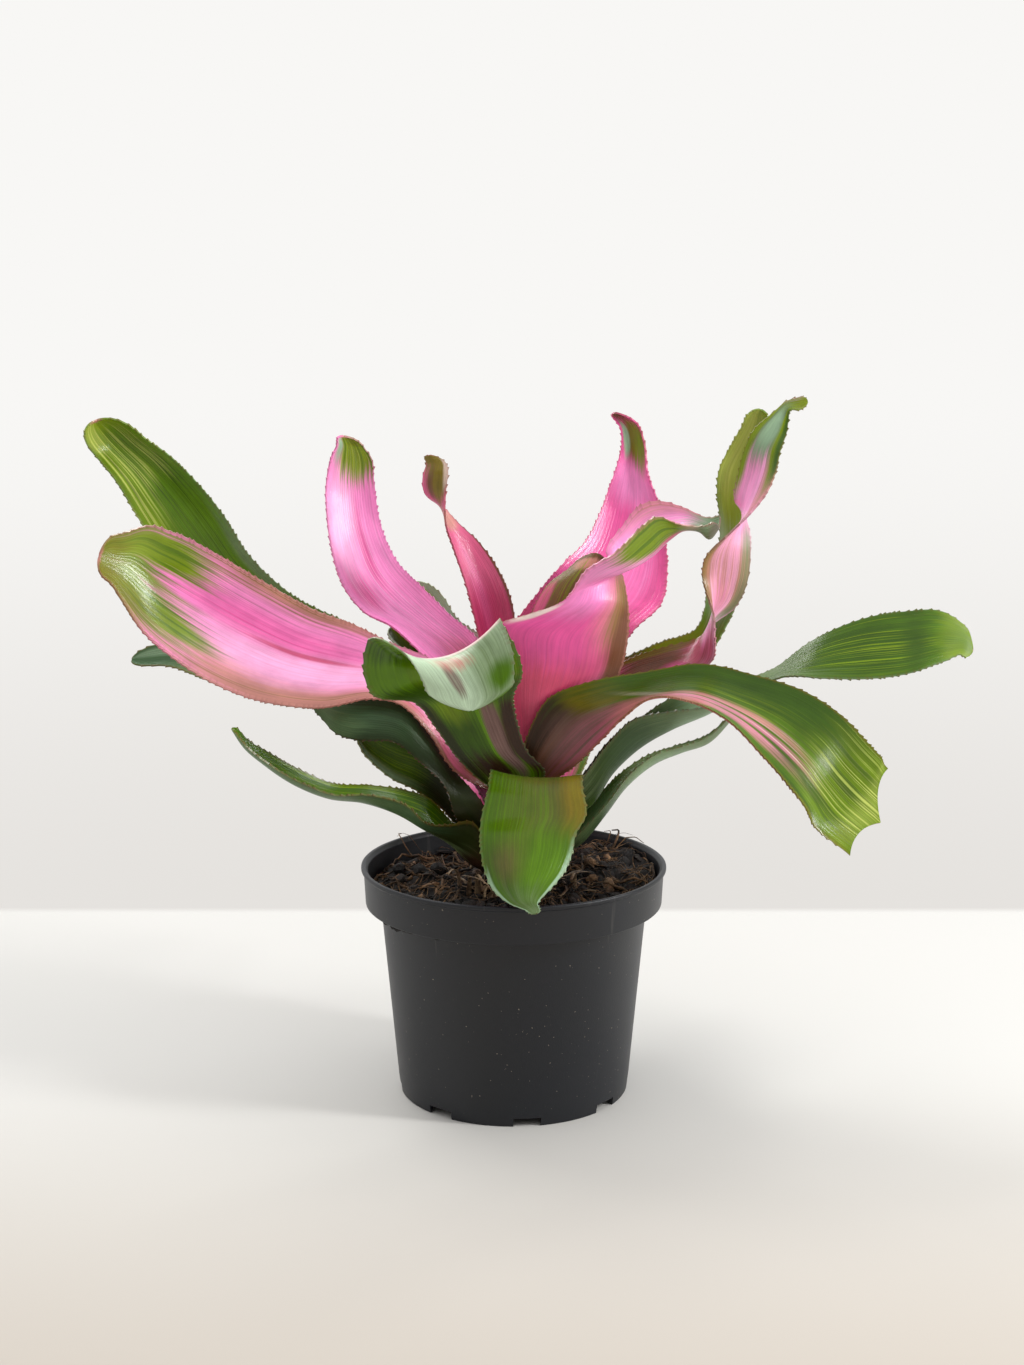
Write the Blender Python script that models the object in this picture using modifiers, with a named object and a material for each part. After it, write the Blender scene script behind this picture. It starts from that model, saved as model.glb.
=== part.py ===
# A bromeliad with pink and green leaves, growing in a black nursery pot.
# Sizes are millimetres in the constants and are turned into metres at the end.
# X runs to the right, Y away from the front, Z up. The pot stands on Z = 0.
import math

import bpy
import numpy as np

MM = 0.001

# Pot: a common 13 cm nursery pot.
POT_HEIGHT = 99.0
LIP_RADIUS = 65.0
COLLAR_RADIUS = 63.9
COLLAR_FOOT_RADIUS = 63.2
COLLAR_DEPTH = 16.2
WALL_TOP_RADIUS = 56.8
BASE_RADIUS = 49.3
WALL = 1.5
FLOOR_UNDERSIDE = 3.6
FLOOR_TOP = 5.4
PAD_RADIUS = 18.0
POT_SIDES = 64
NOTCH_COUNT = 8
NOTCH_WIDTH = 11.5
NOTCH_HEIGHT = 3.6
NOTCH_TURN = 6.5

# Soil and the short stem standing in a hole in it.
SOIL_GAP = 0.4
SOIL_EDGE_HEIGHT = 88.0
SOIL_MOUND = 6.0
SOIL_RINGS = 6
SOIL_SIDES = 40
STEM_X = 3.0
STEM_BOTTOM = 74.0
STEM_TOP = 157.0
STEM_HOLE_GAP = 0.4
# Heights up the stem and its radius there.
STEM_PROFILE = [(74.0, 9.0), (78.0, 10.5), (96.0, 10.5), (112.0, 9.5), (130.0, 8.0), (145.0, 6.2), (153.0, 4.6)]

# Leaves.
BLADE = 0.9
TOOTH = 1.1
BASE_LIFT = 1.25
# The leaves were read off one viewpoint. A point is (across, up, depth): where the
# line from the viewer's eye meets the upright plane through the pot's axis, and how
# far behind that plane (or in front, when negative) the point really is.
EYE_DISTANCE = 840.0
EYE_HEIGHT = 339.0

# Each leaf: where it leaves the stem (bearing in degrees, height, width there), then
# stations from base to tip. A station is (first margin, second margin, hollow) or
# (first margin, midrib, second margin). The first margin is on the left for someone
# looking at the upper face towards the tip. Hollow is how far the midrib sinks below
# the line joining the margins. The last entry is the tip. A leaf with a bite has no
# point: its last station is its end, cut back by the bite between corners and midrib.
LEAVES = {
    "leaf_front_drooping": {
        "base": (-78, 100, 12), "across": 4, "pitch": 7.0,
        "stations": [
            ((17, 113, -14.5), (-7, 113, -14.5), -1.5),
            ((23, 127, -18), (-8.5, 128, -18), -2),
            ((27.5, 135, -22.5), (9, 133.5, -22), (-9.5, 137, -22)),
            ((28.7, 137.3, -28), (9, 136, -28.5), (-9.5, 139.3, -28)),
            ((29.3, 131, -35), (8.5, 130.5, -36.5), (-10.7, 131.5, -35)),
            ((30.5, 119, -41.5), (8, 118.5, -44), (-13.8, 117.5, -42)),
            ((26.5, 111.5, -47), (-14.2, 110, -47.5), -3),
            ((24.8, 103, -52), (-13.7, 102, -52.5), -3),
            ((21.7, 95, -58), (-12.2, 95, -57.5), -3),
            ((15.5, 87, -64), (-8, 86, -64), -2),
            ((11, 82, -67), (-1.5, 80.5, -67.5), -1),
            ((10.4, 80, -68.3), (4.5, 78, -68.5), 0),
        ],
        "tip": (9.9, 76.2, -70.5),
    },
    "leaf_front_folded": {
        "base": (-108, 124, 10), "across": 5, "pitch": 6.0,
        "stations": [
            ((-16, 137, -15), (13, 138, -14.5), -1),
            ((-25.3, 147, -18), (5.5, 148, -16), -1),
            ((-33, 158, -21), (1.5, 160, -18), 0),
            ((-41.5, 168.5, -25), (-0.3, 171, -22), 1),
            ((-60, 173, -31), (-28, 180, -30), (3.5, 182.5, -26)),
            ((-63, 185, -37), (-30, 186, -35), (1, 191.5, -32)),
            ((-60.5, 195.5, -43), (-32, 187.5, -41), (-5.3, 203.3, -40)),
            ((-47, 190.5, -49), (-26, 184.5, -50), (-2.5, 197, -48)),
            ((-40.3, 182, -52), (-21, 177, -54), (0, 187, -52)),
            ((-36.8, 174, -53), (-18, 170.5, -56), (0, 177.5, -54)),
        ],
        "tip": (-18, 165.3, -57),
    },
    "leaf_centre_pink": {
        "base": (-58, 140, 7), "across": 5, "pitch": 6.0,
        "stations": [
            ((19, 153, -5), (1, 156, -6), 1),
            ((33, 167, -4), (-3.5, 174, -9), 3),
            ((44, 181, -4), (-6.5, 190, -12), 5),
            ((47.5, 196, -4), (-6, 202, -14), 6),
            ((47.8, 205, -3), (5, 205.7, -14), 6),
            ((47, 213, -1), (17.5, 210, -14), 6),
            ((44.5, 223.5, 5), (37, 220.5, -8), (24, 215.3, -14)),
            ((38.5, 233, 12), (45, 223.8, -7), (30.5, 225, -16)),
            ((45.5, 243.5, 17), (51, 227, -3), (42, 232, -17)),
            ((52, 251.5, 18), (58, 231.5, 2), (52, 242, -14)),
            ((61.5, 253.3, 18), (65, 238, 4), (60, 247, -10)),
            ((71, 250.3, 15), (71, 241.8, 5), (68, 244, -5)),
            ((79, 246.8, 12), (77.5, 241, 5), (76, 243, 0)),
            ((83.3, 247, 10), (81, 238, 4), (80, 243.5, 0)),
        ],
        "tip": (84.7, 242, 6),
    },
    "leaf_right_arching": {
        "base": (-46, 119, 9), "across": 4, "pitch": 7.5, "bite": 5.0,
        "stations": [
            ((4, 146, -11), (17, 134.5, -13), 1),
            ((8, 160, -12.5), (26, 141.5, -18), 2),
            ((15.5, 171, -12), (36, 151.5, -25), 3),
            ((32, 177.5, -12.5), (46, 162, -31), 4),
            ((55, 181.5, -10.5), (58, 170.5, -34), 4),
            ((78, 185, -10), (74, 169, -38), 3),
            ((100, 180.5, -14), (90, 161, -43), 3),
            ((122, 173.3, -20), (104, 147, -49), 2),
            ((138.5, 162.5, -26), (115.5, 134, -55), 2),
            ((150.3, 150.3, -32), (124.3, 122.5, -60), 3),
            ((155.3, 145, -36), (144, 127, -50), (128.3, 114.5, -63)),
            ((158.3, 140, -39), (156, 116.5, -55), (143.5, 102, -64)),
        ],
        "tip": (157, 115.5, -55.5),
    },
    "leaf_left_broad_pink": {
        "base": (-170, 129, 8), "across": 4, "pitch": 7.0,
        "stations": [
            ((-26, 140, -11), (-8, 160, -2), 1),
            ((-36, 156, -12), (-22, 177, 1), 2),
            ((-48, 168, -12), (-36, 188, 1), 3),
            ((-60, 170.3, -13.5), (-50, 193.5, 0), 4),
            ((-80, 166.5, -20), (-66, 201.5, -3), 5),
            ((-100, 168, -27), (-83, 208, -8), 5),
            ((-120, 174, -33), (-105, 220.5, -13), 5),
            ((-140, 185.7, -38), (-125, 232.5, -18), 5),
            ((-156, 200.3, -42), (-141, 240.5, -23), 6),
            ((-163.5, 212.5, -43), (-153, 243, -28), 5),
            ((-168, 219.5, -43), (-162, 240, -33), 4),
        ],
        "tip": (-172, 230.5, -38),
    },
    "leaf_left_upper_green": {
        "base": (146, 136, 7), "across": 4, "pitch": 8.5,
        "stations": [
            ((-18, 157, 10), (-12, 174, 15), 2),
            ((-48, 171, 19), (-42, 189, 26), 3),
            ((-80, 187, 32), (-70, 203, 40), 3),
            ((-110, 204, 46), (-93.5, 215.3, 54), 4),
            ((-132, 218, 57), (-110.5, 232, 65), 4),
            ((-146, 232, 65), (-119.5, 247, 73), 4),
            ((-156, 248, 71), (-129.5, 260, 78), 5),
            ((-164, 262, 75), (-141, 271.8, 81), 6),
            ((-173, 273.5, 77), (-153.5, 281.3, 82), 6),
        ],
        "tip": (-171.5, 286.5, 77),
    },
    "leaf_left_behind_pink": {
        "base": (170, 116, 7), "across": 3, "pitch": 8.0,
        "stations": [
            ((-21, 139, -1), (-15, 150, 2), 1),
            ((-45, 155, 3), (-40, 169, 7), 2),
            ((-75, 165, 9), (-70, 181, 14), 2),
            ((-100, 168.3, 14), (-96, 188, 20), 3),
            ((-128, 178, 18), (-122, 197, 24), 3),
            ((-147, 184.5, 21), (-144, 194.5, 26), 2),
        ],
        "tip": (-160, 187, 23),
    },
    "leaf_upright_pink": {
        "base": (130, 143, 6), "across": 4, "pitch": 6.0,
        "stations": [
            ((-21, 172, 5), (-9, 180, 9), 1),
            ((-36, 187, 8), (-15, 195.5, 15), 3),
            ((-50.5, 200.7, 13), (-26.5, 206, 21), 4),
            ((-62.5, 207.3, 19), (-38, 217.5, 28), 4),
            ((-71.3, 219, 24), (-47.3, 227, 34), 3),
            ((-75.5, 234, 30), (-52.7, 237, 40), 3),
            ((-77.3, 250, 35), (-56, 248.5, 45), 3),
            ((-77, 262, 38), (-57.5, 262, 47), 3),
            ((-74.7, 272, 38), (-58.6, 271.5, 46), 3),
            ((-72.5, 277, 38), (-61.5, 275.7, 45), 2),
        ],
        "tip": (-69.7, 280.2, 40),
    },
    "leaf_back_pale": {
        "base": (104, 131, 6), "across": 3, "pitch": 7.0,
        "stations": [
            ((-10, 175, 20), (-1, 185, 21), 1),
            ((-23, 189, 28), (-13.5, 197, 30), 1),
            ((-33, 199, 34), (-24, 205, 36), 1),
            ((-38, 209, 38), (-29.3, 213.6, 40), 1),
        ],
        "tip": (-41, 219.7, 40),
    },
    "leaf_back_left_short": {
        "base": (126, 122, 6), "across": 3, "pitch": 7.0,
        "stations": [
            ((-17, 156, 15), (-8, 166, 18), 1),
            ((-33, 177, 28), (-22, 187, 31), 1),
            ((-47, 191, 33), (-38, 198.5, 36), 1),
        ],
        "tip": (-51.5, 200.7, 35),
    },
    "leaf_centre_twisted": {
        "base": (100, 150, 6), "across": 3, "pitch": 5.0,
        "stations": [
            ((-12, 185, 4), (0, 190, 5), 2),
            ((-15, 199, 5), (0.3, 204, 7), 3),
            ((-20, 219, 6), (-4.4, 221, 10), 3),
            ((-25, 234, 6), (-14, 236, 13), 2),
            ((-28.2, 244.5, 6), (-24.2, 245.5, 15), 1),
            ((-28.5, 251, 6), (-29.4, 251, 16), 1),
            ((-28, 258, 7), (-36, 256, 15), 1),
            ((-27, 266, 8), (-37, 264.5, 13), 2),
            ((-27.8, 269, 9), (-35.8, 269, 12), 1),
        ],
        "tip": (-34.8, 272.3, 11),
    },
    "leaf_back_right_magenta": {
        "base": (55, 144, 6), "across": 4, "pitch": 6.0,
        "stations": [
            ((1, 183, 12), (24, 168, 8), 2),
            ((-1, 198, 17), (38, 184, 13), 3),
            ((9, 214, 27), (51, 200.5, 21), 4),
            ((20, 227, 37), (61.5, 211, 30), 5),
            ((30, 237, 47), (63.7, 223, 39), 5),
            ((35, 247, 55), (62.8, 237, 48), 4),
            ((39, 258, 62), (60, 252, 56), 3),
            ((43, 270, 67), (55.2, 265, 62), 3),
            ((44.3, 278, 69), (53.8, 277, 66), 2),
            ((43, 284.5, 69), (50.8, 285, 67), 1),
        ],
        "tip": (41.3, 289.7, 68),
    },
    "leaf_inner_olive": {
        "base": (20, 150, 5), "across": 3, "pitch": 6.0,
        "stations": [
            ((20, 180, 1), (3, 184, 0), 1),
            ((26, 196, 4), (5, 198, 3), 2),
            ((32, 208, 7), (8.5, 209, 7), 3),
            ((35.5, 219, 10), (15, 219.3, 11), 3),
            ((36.5, 226.5, 12), (23.5, 225.8, 14), 2),
        ],
        "tip": (33.3, 231.7, 14),
    },
    "leaf_right_twisted_pink": {
        "base": (5, 133, 7), "across": 4, "pitch": 6.5,
        "stations": [
            ((28, 172, 5), (32, 160, 0), 1),
            ((48, 187, 8), (52, 173, 0), 2),
            ((62, 192, 10), (68, 177, -1), 2),
            ((77, 196, 11), (76, 188, 3), (82.8, 186, -4)),
            ((82, 201.5, 12), (80, 198, 1), (84, 197, -7)),
            ((86, 204.5, 11), (83, 206, 1), (83.3, 206, -8)),
            ((92, 209, 8), (87, 213, 2), (80.3, 215, -6)),
            ((96.8, 219, 5), (89, 223, 1), (78.4, 224, -4)),
            ((98, 232, 6), (90, 233, 0), (81, 232, -5)),
            ((97.2, 242, 9), (92, 241.5, 2), (89.9, 240.5, -7)),
            ((94.5, 249, 10), (95, 247, 2), (97, 247.5, -8)),
            ((91.3, 254, 8), (97, 254, 2), (103, 255, -6)),
            ((92.3, 264, 6), (100, 265, 2), (107.6, 265, -4)),
            ((95, 275, 4), (102, 275, 1), (109.6, 274.5, -3)),
            ((99, 283.5, 2), (106, 283, 1), (112, 282, -1)),
            ((105, 288.8, 1), (109, 288.3, 1), (112.6, 287.3, 0)),
            ((111, 294, 2), (112, 292.3, 1), (113.2, 290.6, 0)),
            ((116.5, 296, 2), (116.8, 293.2, 1), (117, 290.8, 0)),
        ],
        "tip": (120.3, 294.2, 1),
    },
    "leaf_right_upright_green": {
        "base": (32, 124, 7), "across": 3, "pitch": 7.0,
        "stations": [
            ((26, 176, 14), (30, 160, 10), 1),
            ((48, 188.5, 19), (52, 174, 14), 2),
            ((62, 194.5, 24), (66, 182, 19), 2),
            ((76, 200, 29), (82, 190, 23), 2),
            ((79.5, 208, 32), (89, 202, 26), 2),
            ((80.5, 218, 35), (94, 214, 29), 2),
            ((84.5, 232, 38), (97, 229, 32), 2),
            ((85.3, 245, 41), (96, 244, 34), 2),
            ((83.8, 256, 43), (97, 256, 36), 2),
            ((84.4, 266, 43), (99, 266, 37), 2),
            ((90, 278, 42), (103, 276, 37), 2),
            ((94, 285.5, 40), (105, 283, 36), 2),
        ],
        "tip": (101, 291, 38),
    },
    "leaf_left_dark": {
        "base": (-143, 107, 8), "across": 3, "pitch": 7.0,
        "stations": [
            ((-15, 127.5, -11.5), (-24.5, 119, -13), 1),
            ((-25.5, 139.5, -4.5), (-29, 132, -13), 1),
            ((-35, 155.5, -4), (-40, 143.3, -15), 2),
            ((-44, 168, -4), (-51, 151.8, -14), 2),
            ((-56, 173, -2), (-62, 152.2, -13), 2),
            ((-65, 173, -2), (-69, 153, -11), 2),
            ((-73, 172.5, -1), (-76, 156.3, -8), 2),
            ((-79, 172, 0), (-81.8, 163, -4), 1),
        ],
        "tip": (-84.5, 170.5, -1),
    },
    "leaf_left_low_green": {
        "base": (176, 103, 7), "across": 3, "pitch": 7.0,
        "stations": [
            ((-24, 115, 3), (-20, 126, 4), 1),
            ((-31, 123, 3), (-27, 138, 5), 2),
            ((-42, 131, 2), (-38, 147, 5), 2),
            ((-52, 136, 1), (-49, 151, 4), 2),
            ((-61.3, 144.3, 0), (-58, 155, 3), 2),
        ],
        "tip": (-66.5, 157.5, 1),
    },
    "leaf_left_long_narrow": {
        "base": (-163, 95, 10), "across": 4, "pitch": 7.0,
        "stations": [
            ((-17, 116.5, -18), (-19, 99, -13), (-18, 110, -4)),
            ((-27, 115.6, -20), (-27, 107, -14), (-26.5, 117, -5)),
            ((-37, 116.3, -22), (-38, 114.5, -15), (-36, 127, -7)),
            ((-46, 124.5, -25), (-50, 120.9, -17), (-47, 131, -9)),
            ((-62, 128.7, -30), (-64, 125.6, -22), (-62, 133, -15)),
            ((-76, 128.7, -34), (-78, 127.5, -27), (-76, 133.5, -20)),
            ((-92, 135, -38), (-92, 133.1, -32), (-91, 139.8, -26)),
            ((-106, 144, -41), (-106, 142.7, -36), (-105.5, 148.3, -32)),
            ((-113, 150, -42), (-113.3, 149, -38), (-112.5, 152.8, -35)),
        ],
        "tip": (-118.7, 157.2, -39),
    },
    "leaf_right_long_grey": {
        "base": (-24, 109, 8), "across": 4, "pitch": 8.0,
        "stations": [
            ((22, 128, -3), (24, 117, -8), (25, 130, -13)),
            ((31, 140, -2), (33.5, 125, -8), (32, 140, -15)),
            ((40, 152, -1), (42, 138.3, -8), (39.5, 150.5, -16)),
            ((52, 161, -1), (53, 149, -8), (50, 161, -16)),
            ((65, 170, 0), (67, 157.5, -6), (64, 164.5, -14)),
            ((80, 174.5, 2), (82, 164.5, -3), (80, 166.5, -9)),
            ((95, 178, 8), (97, 174, 4), (98, 173, 1)),
            ((109, 183, 12), (111, 181, 6), (113, 179.6, 0)),
            ((124, 194.3, 13), (127, 188, 5), (130, 179, -3)),
            ((142, 203, 15), (145, 192, 7), (148, 178.8, -2)),
            ((162, 207.2, 18), (165, 194, 10), (166, 181.2, 1)),
            ((181, 206.3, 21), (182, 196, 14), (181, 186.4, 7)),
            ((189.3, 200, 20), (190, 194, 15), (188, 188.6, 10)),
        ],
        "tip": (192, 191, 14),
    },
    "leaf_right_low_grey": {
        "base": (-4, 99, 9), "across": 3, "pitch": 7.0,
        "stations": [
            ((25, 114, 7), (29, 108, 1), (29, 113, -5)),
            ((34, 126, 10), (38, 119.5, 4), (39.5, 125, -2)),
            ((44, 137, 15), (47.5, 132.3, 9), (48.5, 137, 3)),
            ((56, 145.5, 20), (59, 142, 14), (59.5, 146, 8)),
            ((70, 150.5, 26), (71, 147.3, 21), (71, 149.7, 15)),
            ((82, 155, 31), (82, 151.3, 27), (82, 154, 22)),
        ],
        "tip": (93, 163, 33),
    },
    "leaf_rear_long": {
        "base": (95, 110, 9), "across": 3, "pitch": 9.0,
        "stations": [
            ((-9, 138, 19), (11, 138, 19), 2),
            ((-14, 158, 35), (16, 158, 35), 3),
            ((-16, 170, 60), (18, 170, 60), 4),
            ((-15, 174, 85), (17, 174, 85), 4),
            ((-12, 171, 110), (13, 171, 110), 3),
        ],
        "tip": (0, 165, 130),
    },
    "leaf_rear_right": {
        "base": (58, 102, 8), "across": 3, "pitch": 9.0,
        "stations": [
            ((9, 128, 17), (21, 124, 10), 1),
            ((14, 142, 35), (28, 137, 26), 2),
            ((18, 156, 58), (33, 150, 50), 3),
            ((22, 165, 80), (36, 160, 75), 3),
            ((26, 170, 100), (38, 166, 97), 2),
        ],
        "tip": (34, 170, 118),
    },
    "leaf_rear_left": {
        "base": (130, 98, 8), "across": 3, "pitch": 9.0,
        "stations": [
            ((-20, 122, 13), (-8, 128, 19), 1),
            ((-30, 135, 27), (-16, 142, 35), 2),
            ((-42, 146, 46), (-26, 153, 53), 3),
            ((-54, 155, 63), (-38, 163, 71), 3),
            ((-66, 160, 81), (-50, 168, 87), 2),
        ],
        "tip": (-68, 167, 100),
    },
}

GREEN = (0.16, 0.30, 0.06)
PINK = (0.68, 0.18, 0.33)
PALE = (0.34, 0.46, 0.27)
OLIVE = (0.24, 0.20, 0.06)
LEAF_COLOURS = {
    "leaf_front_folded": PALE,
    "leaf_centre_pink": PINK,
    "leaf_left_broad_pink": PINK,
    "leaf_upright_pink": PINK,
    "leaf_centre_twisted": PINK,
    "leaf_back_right_magenta": PINK,
    "leaf_right_twisted_pink": PINK,
    "leaf_inner_olive": OLIVE,
    "leaf_back_pale": PALE,
    "leaf_right_low_grey": PALE,
}


def clear_scene():
    for item in list(bpy.data.objects):
        bpy.data.objects.remove(item, do_unlink=True)


def new_collection(name):
    group = bpy.data.collections.new(name)
    bpy.context.scene.collection.children.link(group)
    return group


def material(name, colour, roughness):
    mat = bpy.data.materials.new(name)
    mat.use_nodes = True
    shader = mat.node_tree.nodes["Principled BSDF"]
    shader.inputs["Base Color"].default_value = (*colour, 1.0)
    shader.inputs["Roughness"].default_value = roughness
    return mat


def mesh_object(name, verts, faces, group, mat):
    mesh = bpy.data.meshes.new(name)
    mesh.from_pydata([tuple(float(c) * MM for c in v) for v in verts], [], faces)
    mesh.update()
    obj = bpy.data.objects.new(name, mesh)
    group.objects.link(obj)
    mesh.materials.append(mat)
    mesh.shade_smooth()
    return obj


def ring(radius, height, sides, centre=(0.0, 0.0)):
    turns = [2 * math.pi * k / sides for k in range(sides)]
    return [(centre[0] + radius * math.cos(t), centre[1] + radius * math.sin(t), height) for t in turns]


def turned(name, profile, sides, group, mat):
    """A turned solid: the profile runs down the outside, from the axis on top to the axis below."""
    verts = [(radius, 0.0, height) for radius, height in profile]
    obj = mesh_object(name, verts, [], group, mat)
    obj.data.edges.add(len(verts) - 1)
    for k, edge in enumerate(obj.data.edges):
        edge.vertices = (k, k + 1)
    turn = obj.modifiers.new("turn", "SCREW")
    turn.steps = sides
    turn.render_steps = sides
    turn.use_merge_vertices = True
    turn.merge_threshold = 0.00002
    turn.use_smooth_shade = True
    return obj


def wall_radius(height):
    """Outside radius of the tapering wall below the collar."""
    share = height / (POT_HEIGHT - COLLAR_DEPTH)
    return BASE_RADIUS + (WALL_TOP_RADIUS - BASE_RADIUS) * share


def pot_profile():
    """From the middle of the floor inside, up the wall, over the lip and down to the foot."""
    step = POT_HEIGHT - COLLAR_DEPTH
    return [
        (0.0, FLOOR_TOP),
        (wall_radius(FLOOR_TOP) - WALL - 2.0, FLOOR_TOP),
        (wall_radius(12.0) - WALL, 12.0),
        (WALL_TOP_RADIUS - WALL, step + WALL - 0.6),
        (COLLAR_FOOT_RADIUS - WALL - 0.4, step + WALL + 0.4),
        (COLLAR_RADIUS - WALL - 0.4, POT_HEIGHT - 0.5),
        (LIP_RADIUS - 1.2, POT_HEIGHT),
        (LIP_RADIUS - 0.5, POT_HEIGHT - 0.15),
        (LIP_RADIUS, POT_HEIGHT - 0.9),
        (COLLAR_RADIUS, POT_HEIGHT - 2.0),
        (COLLAR_FOOT_RADIUS, step + 0.6),
        (COLLAR_FOOT_RADIUS - 0.4, step),
        (WALL_TOP_RADIUS, step - 0.4),
        (BASE_RADIUS, 0.5),
        (BASE_RADIUS - 0.4, 0.0),
        (BASE_RADIUS - 1.6, 0.0),
        (BASE_RADIUS - 2.0, FLOOR_UNDERSIDE),
        (PAD_RADIUS + 0.4, FLOOR_UNDERSIDE),
        (PAD_RADIUS, 0.0),
        (0.0, 0.0),
    ]


def notch_cutter(number, cutters):
    """A block that cuts one notch through the foot of the wall."""
    bearing = math.radians(-90 + NOTCH_TURN + number * 360 / NOTCH_COUNT)
    middle = BASE_RADIUS - 0.8
    height = NOTCH_HEIGHT + 2.0
    where = (middle * math.cos(bearing) * MM, middle * math.sin(bearing) * MM, (NOTCH_HEIGHT - height / 2) * MM)
    bpy.ops.mesh.primitive_cube_add(size=1, location=where, rotation=(0, 0, bearing))
    cutter = bpy.context.object
    cutter.name = "notch_cutter_%d" % number
    cutter.scale = (6.0 * MM, NOTCH_WIDTH * MM, height * MM)
    for owner in list(cutter.users_collection):
        owner.objects.unlink(cutter)
    cutters.objects.link(cutter)
    cutter.hide_render = True
    cutter.display_type = "WIRE"
    return cutter


def build_pot(group, cutters, mat):
    pot = turned("pot", pot_profile(), POT_SIDES, group, mat)
    for number in range(NOTCH_COUNT):
        cut = pot.modifiers.new("notch_%d" % number, "BOOLEAN")
        cut.operation = "DIFFERENCE"
        cut.solver = "EXACT"
        cut.object = notch_cutter(number, cutters)
    return pot


def soil_height(x, y, edge):
    """Height of the soil: a mound round the stem, higher at the back right, with lumps."""
    away = math.hypot(x - STEM_X, y)
    mound = SOIL_MOUND * math.exp(-(away / 30.0) ** 2)
    lean = 0.045 * x + 0.025 * y
    lumps = 0.9 * math.sin(x / 5.1 + 0.6) * math.cos(y / 4.3 - 0.4)
    lumps += 0.6 * math.sin(x / 2.9 + y / 3.7 + 1.3)
    return SOIL_EDGE_HEIGHT + mound + lean + lumps * (1.0 - 0.5 * edge)


def stem_radius(height):
    heights = [h for h, r in STEM_PROFILE]
    radii = [r for h, r in STEM_PROFILE]
    return float(np.interp(height, heights, radii))


def build_soil(group, mat):
    """The soil fills the pot and has a plain round hole that the stem stands in."""
    hole = 10.5 + STEM_HOLE_GAP
    hole_floor = STEM_BOTTOM - 0.4
    collar_line = POT_HEIGHT - COLLAR_DEPTH + WALL + 0.4
    outer = COLLAR_FOOT_RADIUS - WALL - 0.4 - SOIL_GAP - 0.2
    verts = []
    faces = []
    sides = SOIL_SIDES
    rows = []

    def add_row(points):
        rows.append(len(verts))
        verts.extend(points)

    verts.append((STEM_X, 0.0, hole_floor))
    add_row(ring(hole, hole_floor, sides, (STEM_X, 0.0)))
    for share in [i / SOIL_RINGS for i in range(SOIL_RINGS + 1)]:
        points = []
        for k in range(sides):
            t = 2 * math.pi * k / sides
            near = (STEM_X + hole * math.cos(t), hole * math.sin(t))
            far = (outer * math.cos(t), outer * math.sin(t))
            x = near[0] + (far[0] - near[0]) * share
            y = near[1] + (far[1] - near[1]) * share
            points.append((x, y, soil_height(x, y, share)))
        add_row(points)
    add_row(ring(outer - 0.1, collar_line + 0.8, sides))
    add_row(ring(WALL_TOP_RADIUS - WALL - SOIL_GAP - 0.3, collar_line - 0.8, sides))
    add_row(ring(wall_radius(12.0) - WALL - SOIL_GAP - 0.2, 12.3, sides))
    add_row(ring(wall_radius(FLOOR_TOP) - WALL - 2.4 - SOIL_GAP, FLOOR_TOP + SOIL_GAP, sides))
    verts.append((0.0, 0.0, FLOOR_TOP + SOIL_GAP))
    last = len(verts) - 1
    for k in range(sides):
        n = (k + 1) % sides
        faces.append((0, 1 + k, 1 + n))
        faces.append((last, rows[-1] + n, rows[-1] + k))
        for a, b in zip(rows[:-1], rows[1:]):
            faces.append((a + k, b + k, b + n))
            faces.append((a + k, b + n, a + n))
    return mesh_object("soil", verts, faces, group, mat)


def build_stem(group, mat):
    profile = [(0.0, STEM_TOP), (2.6, STEM_TOP - 1.2)]
    profile += [(radius, height) for height, radius in reversed(STEM_PROFILE)]
    profile += [(0.0, STEM_BOTTOM)]
    stem = turned("stem", profile, 24, group, mat)
    stem.location.x = STEM_X * MM
    return stem


def sight(point):
    """Turn (across, up, depth) into a place in millimetres."""
    across, up, depth = point
    reach = 1.0 + depth / EYE_DISTANCE
    return np.array([across * reach, depth, EYE_HEIGHT + reach * (up - EYE_HEIGHT)])


def base_station(bearing, height, width):
    """Margins and midrib where a leaf leaves the stem, standing just off its skin."""
    radius = stem_radius(height) + BASE_LIFT
    spread = width / 2 / radius
    middle = math.radians(bearing)
    out = []
    for turn in (middle + spread, middle, middle - spread):
        out.append(np.array([STEM_X + radius * math.cos(turn), radius * math.sin(turn), height]))
    return out


def leaf_stations(spec):
    """First margin, midrib and second margin at each station, in millimetres."""
    raw = spec["stations"]
    ends = [(sight(s[0]), sight(s[2] if isinstance(s[2], tuple) else s[1])) for s in raw]
    tip = sight(spec["tip"])
    base = base_station(*spec["base"])
    spine = [base[1]] + [(a + b) / 2 for a, b in ends] + [tip]
    out = [base]
    for i, station in enumerate(raw):
        first, second = ends[i]
        if isinstance(station[2], tuple):
            middle = sight(station[1])
        else:
            along = spine[i + 2] - spine[i]
            upper = np.cross(second - first, along)
            upper /= np.linalg.norm(upper)
            middle = (first + second) / 2 - upper * station[2]
        out.append([first, middle, second])
    return out, tip


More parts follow.
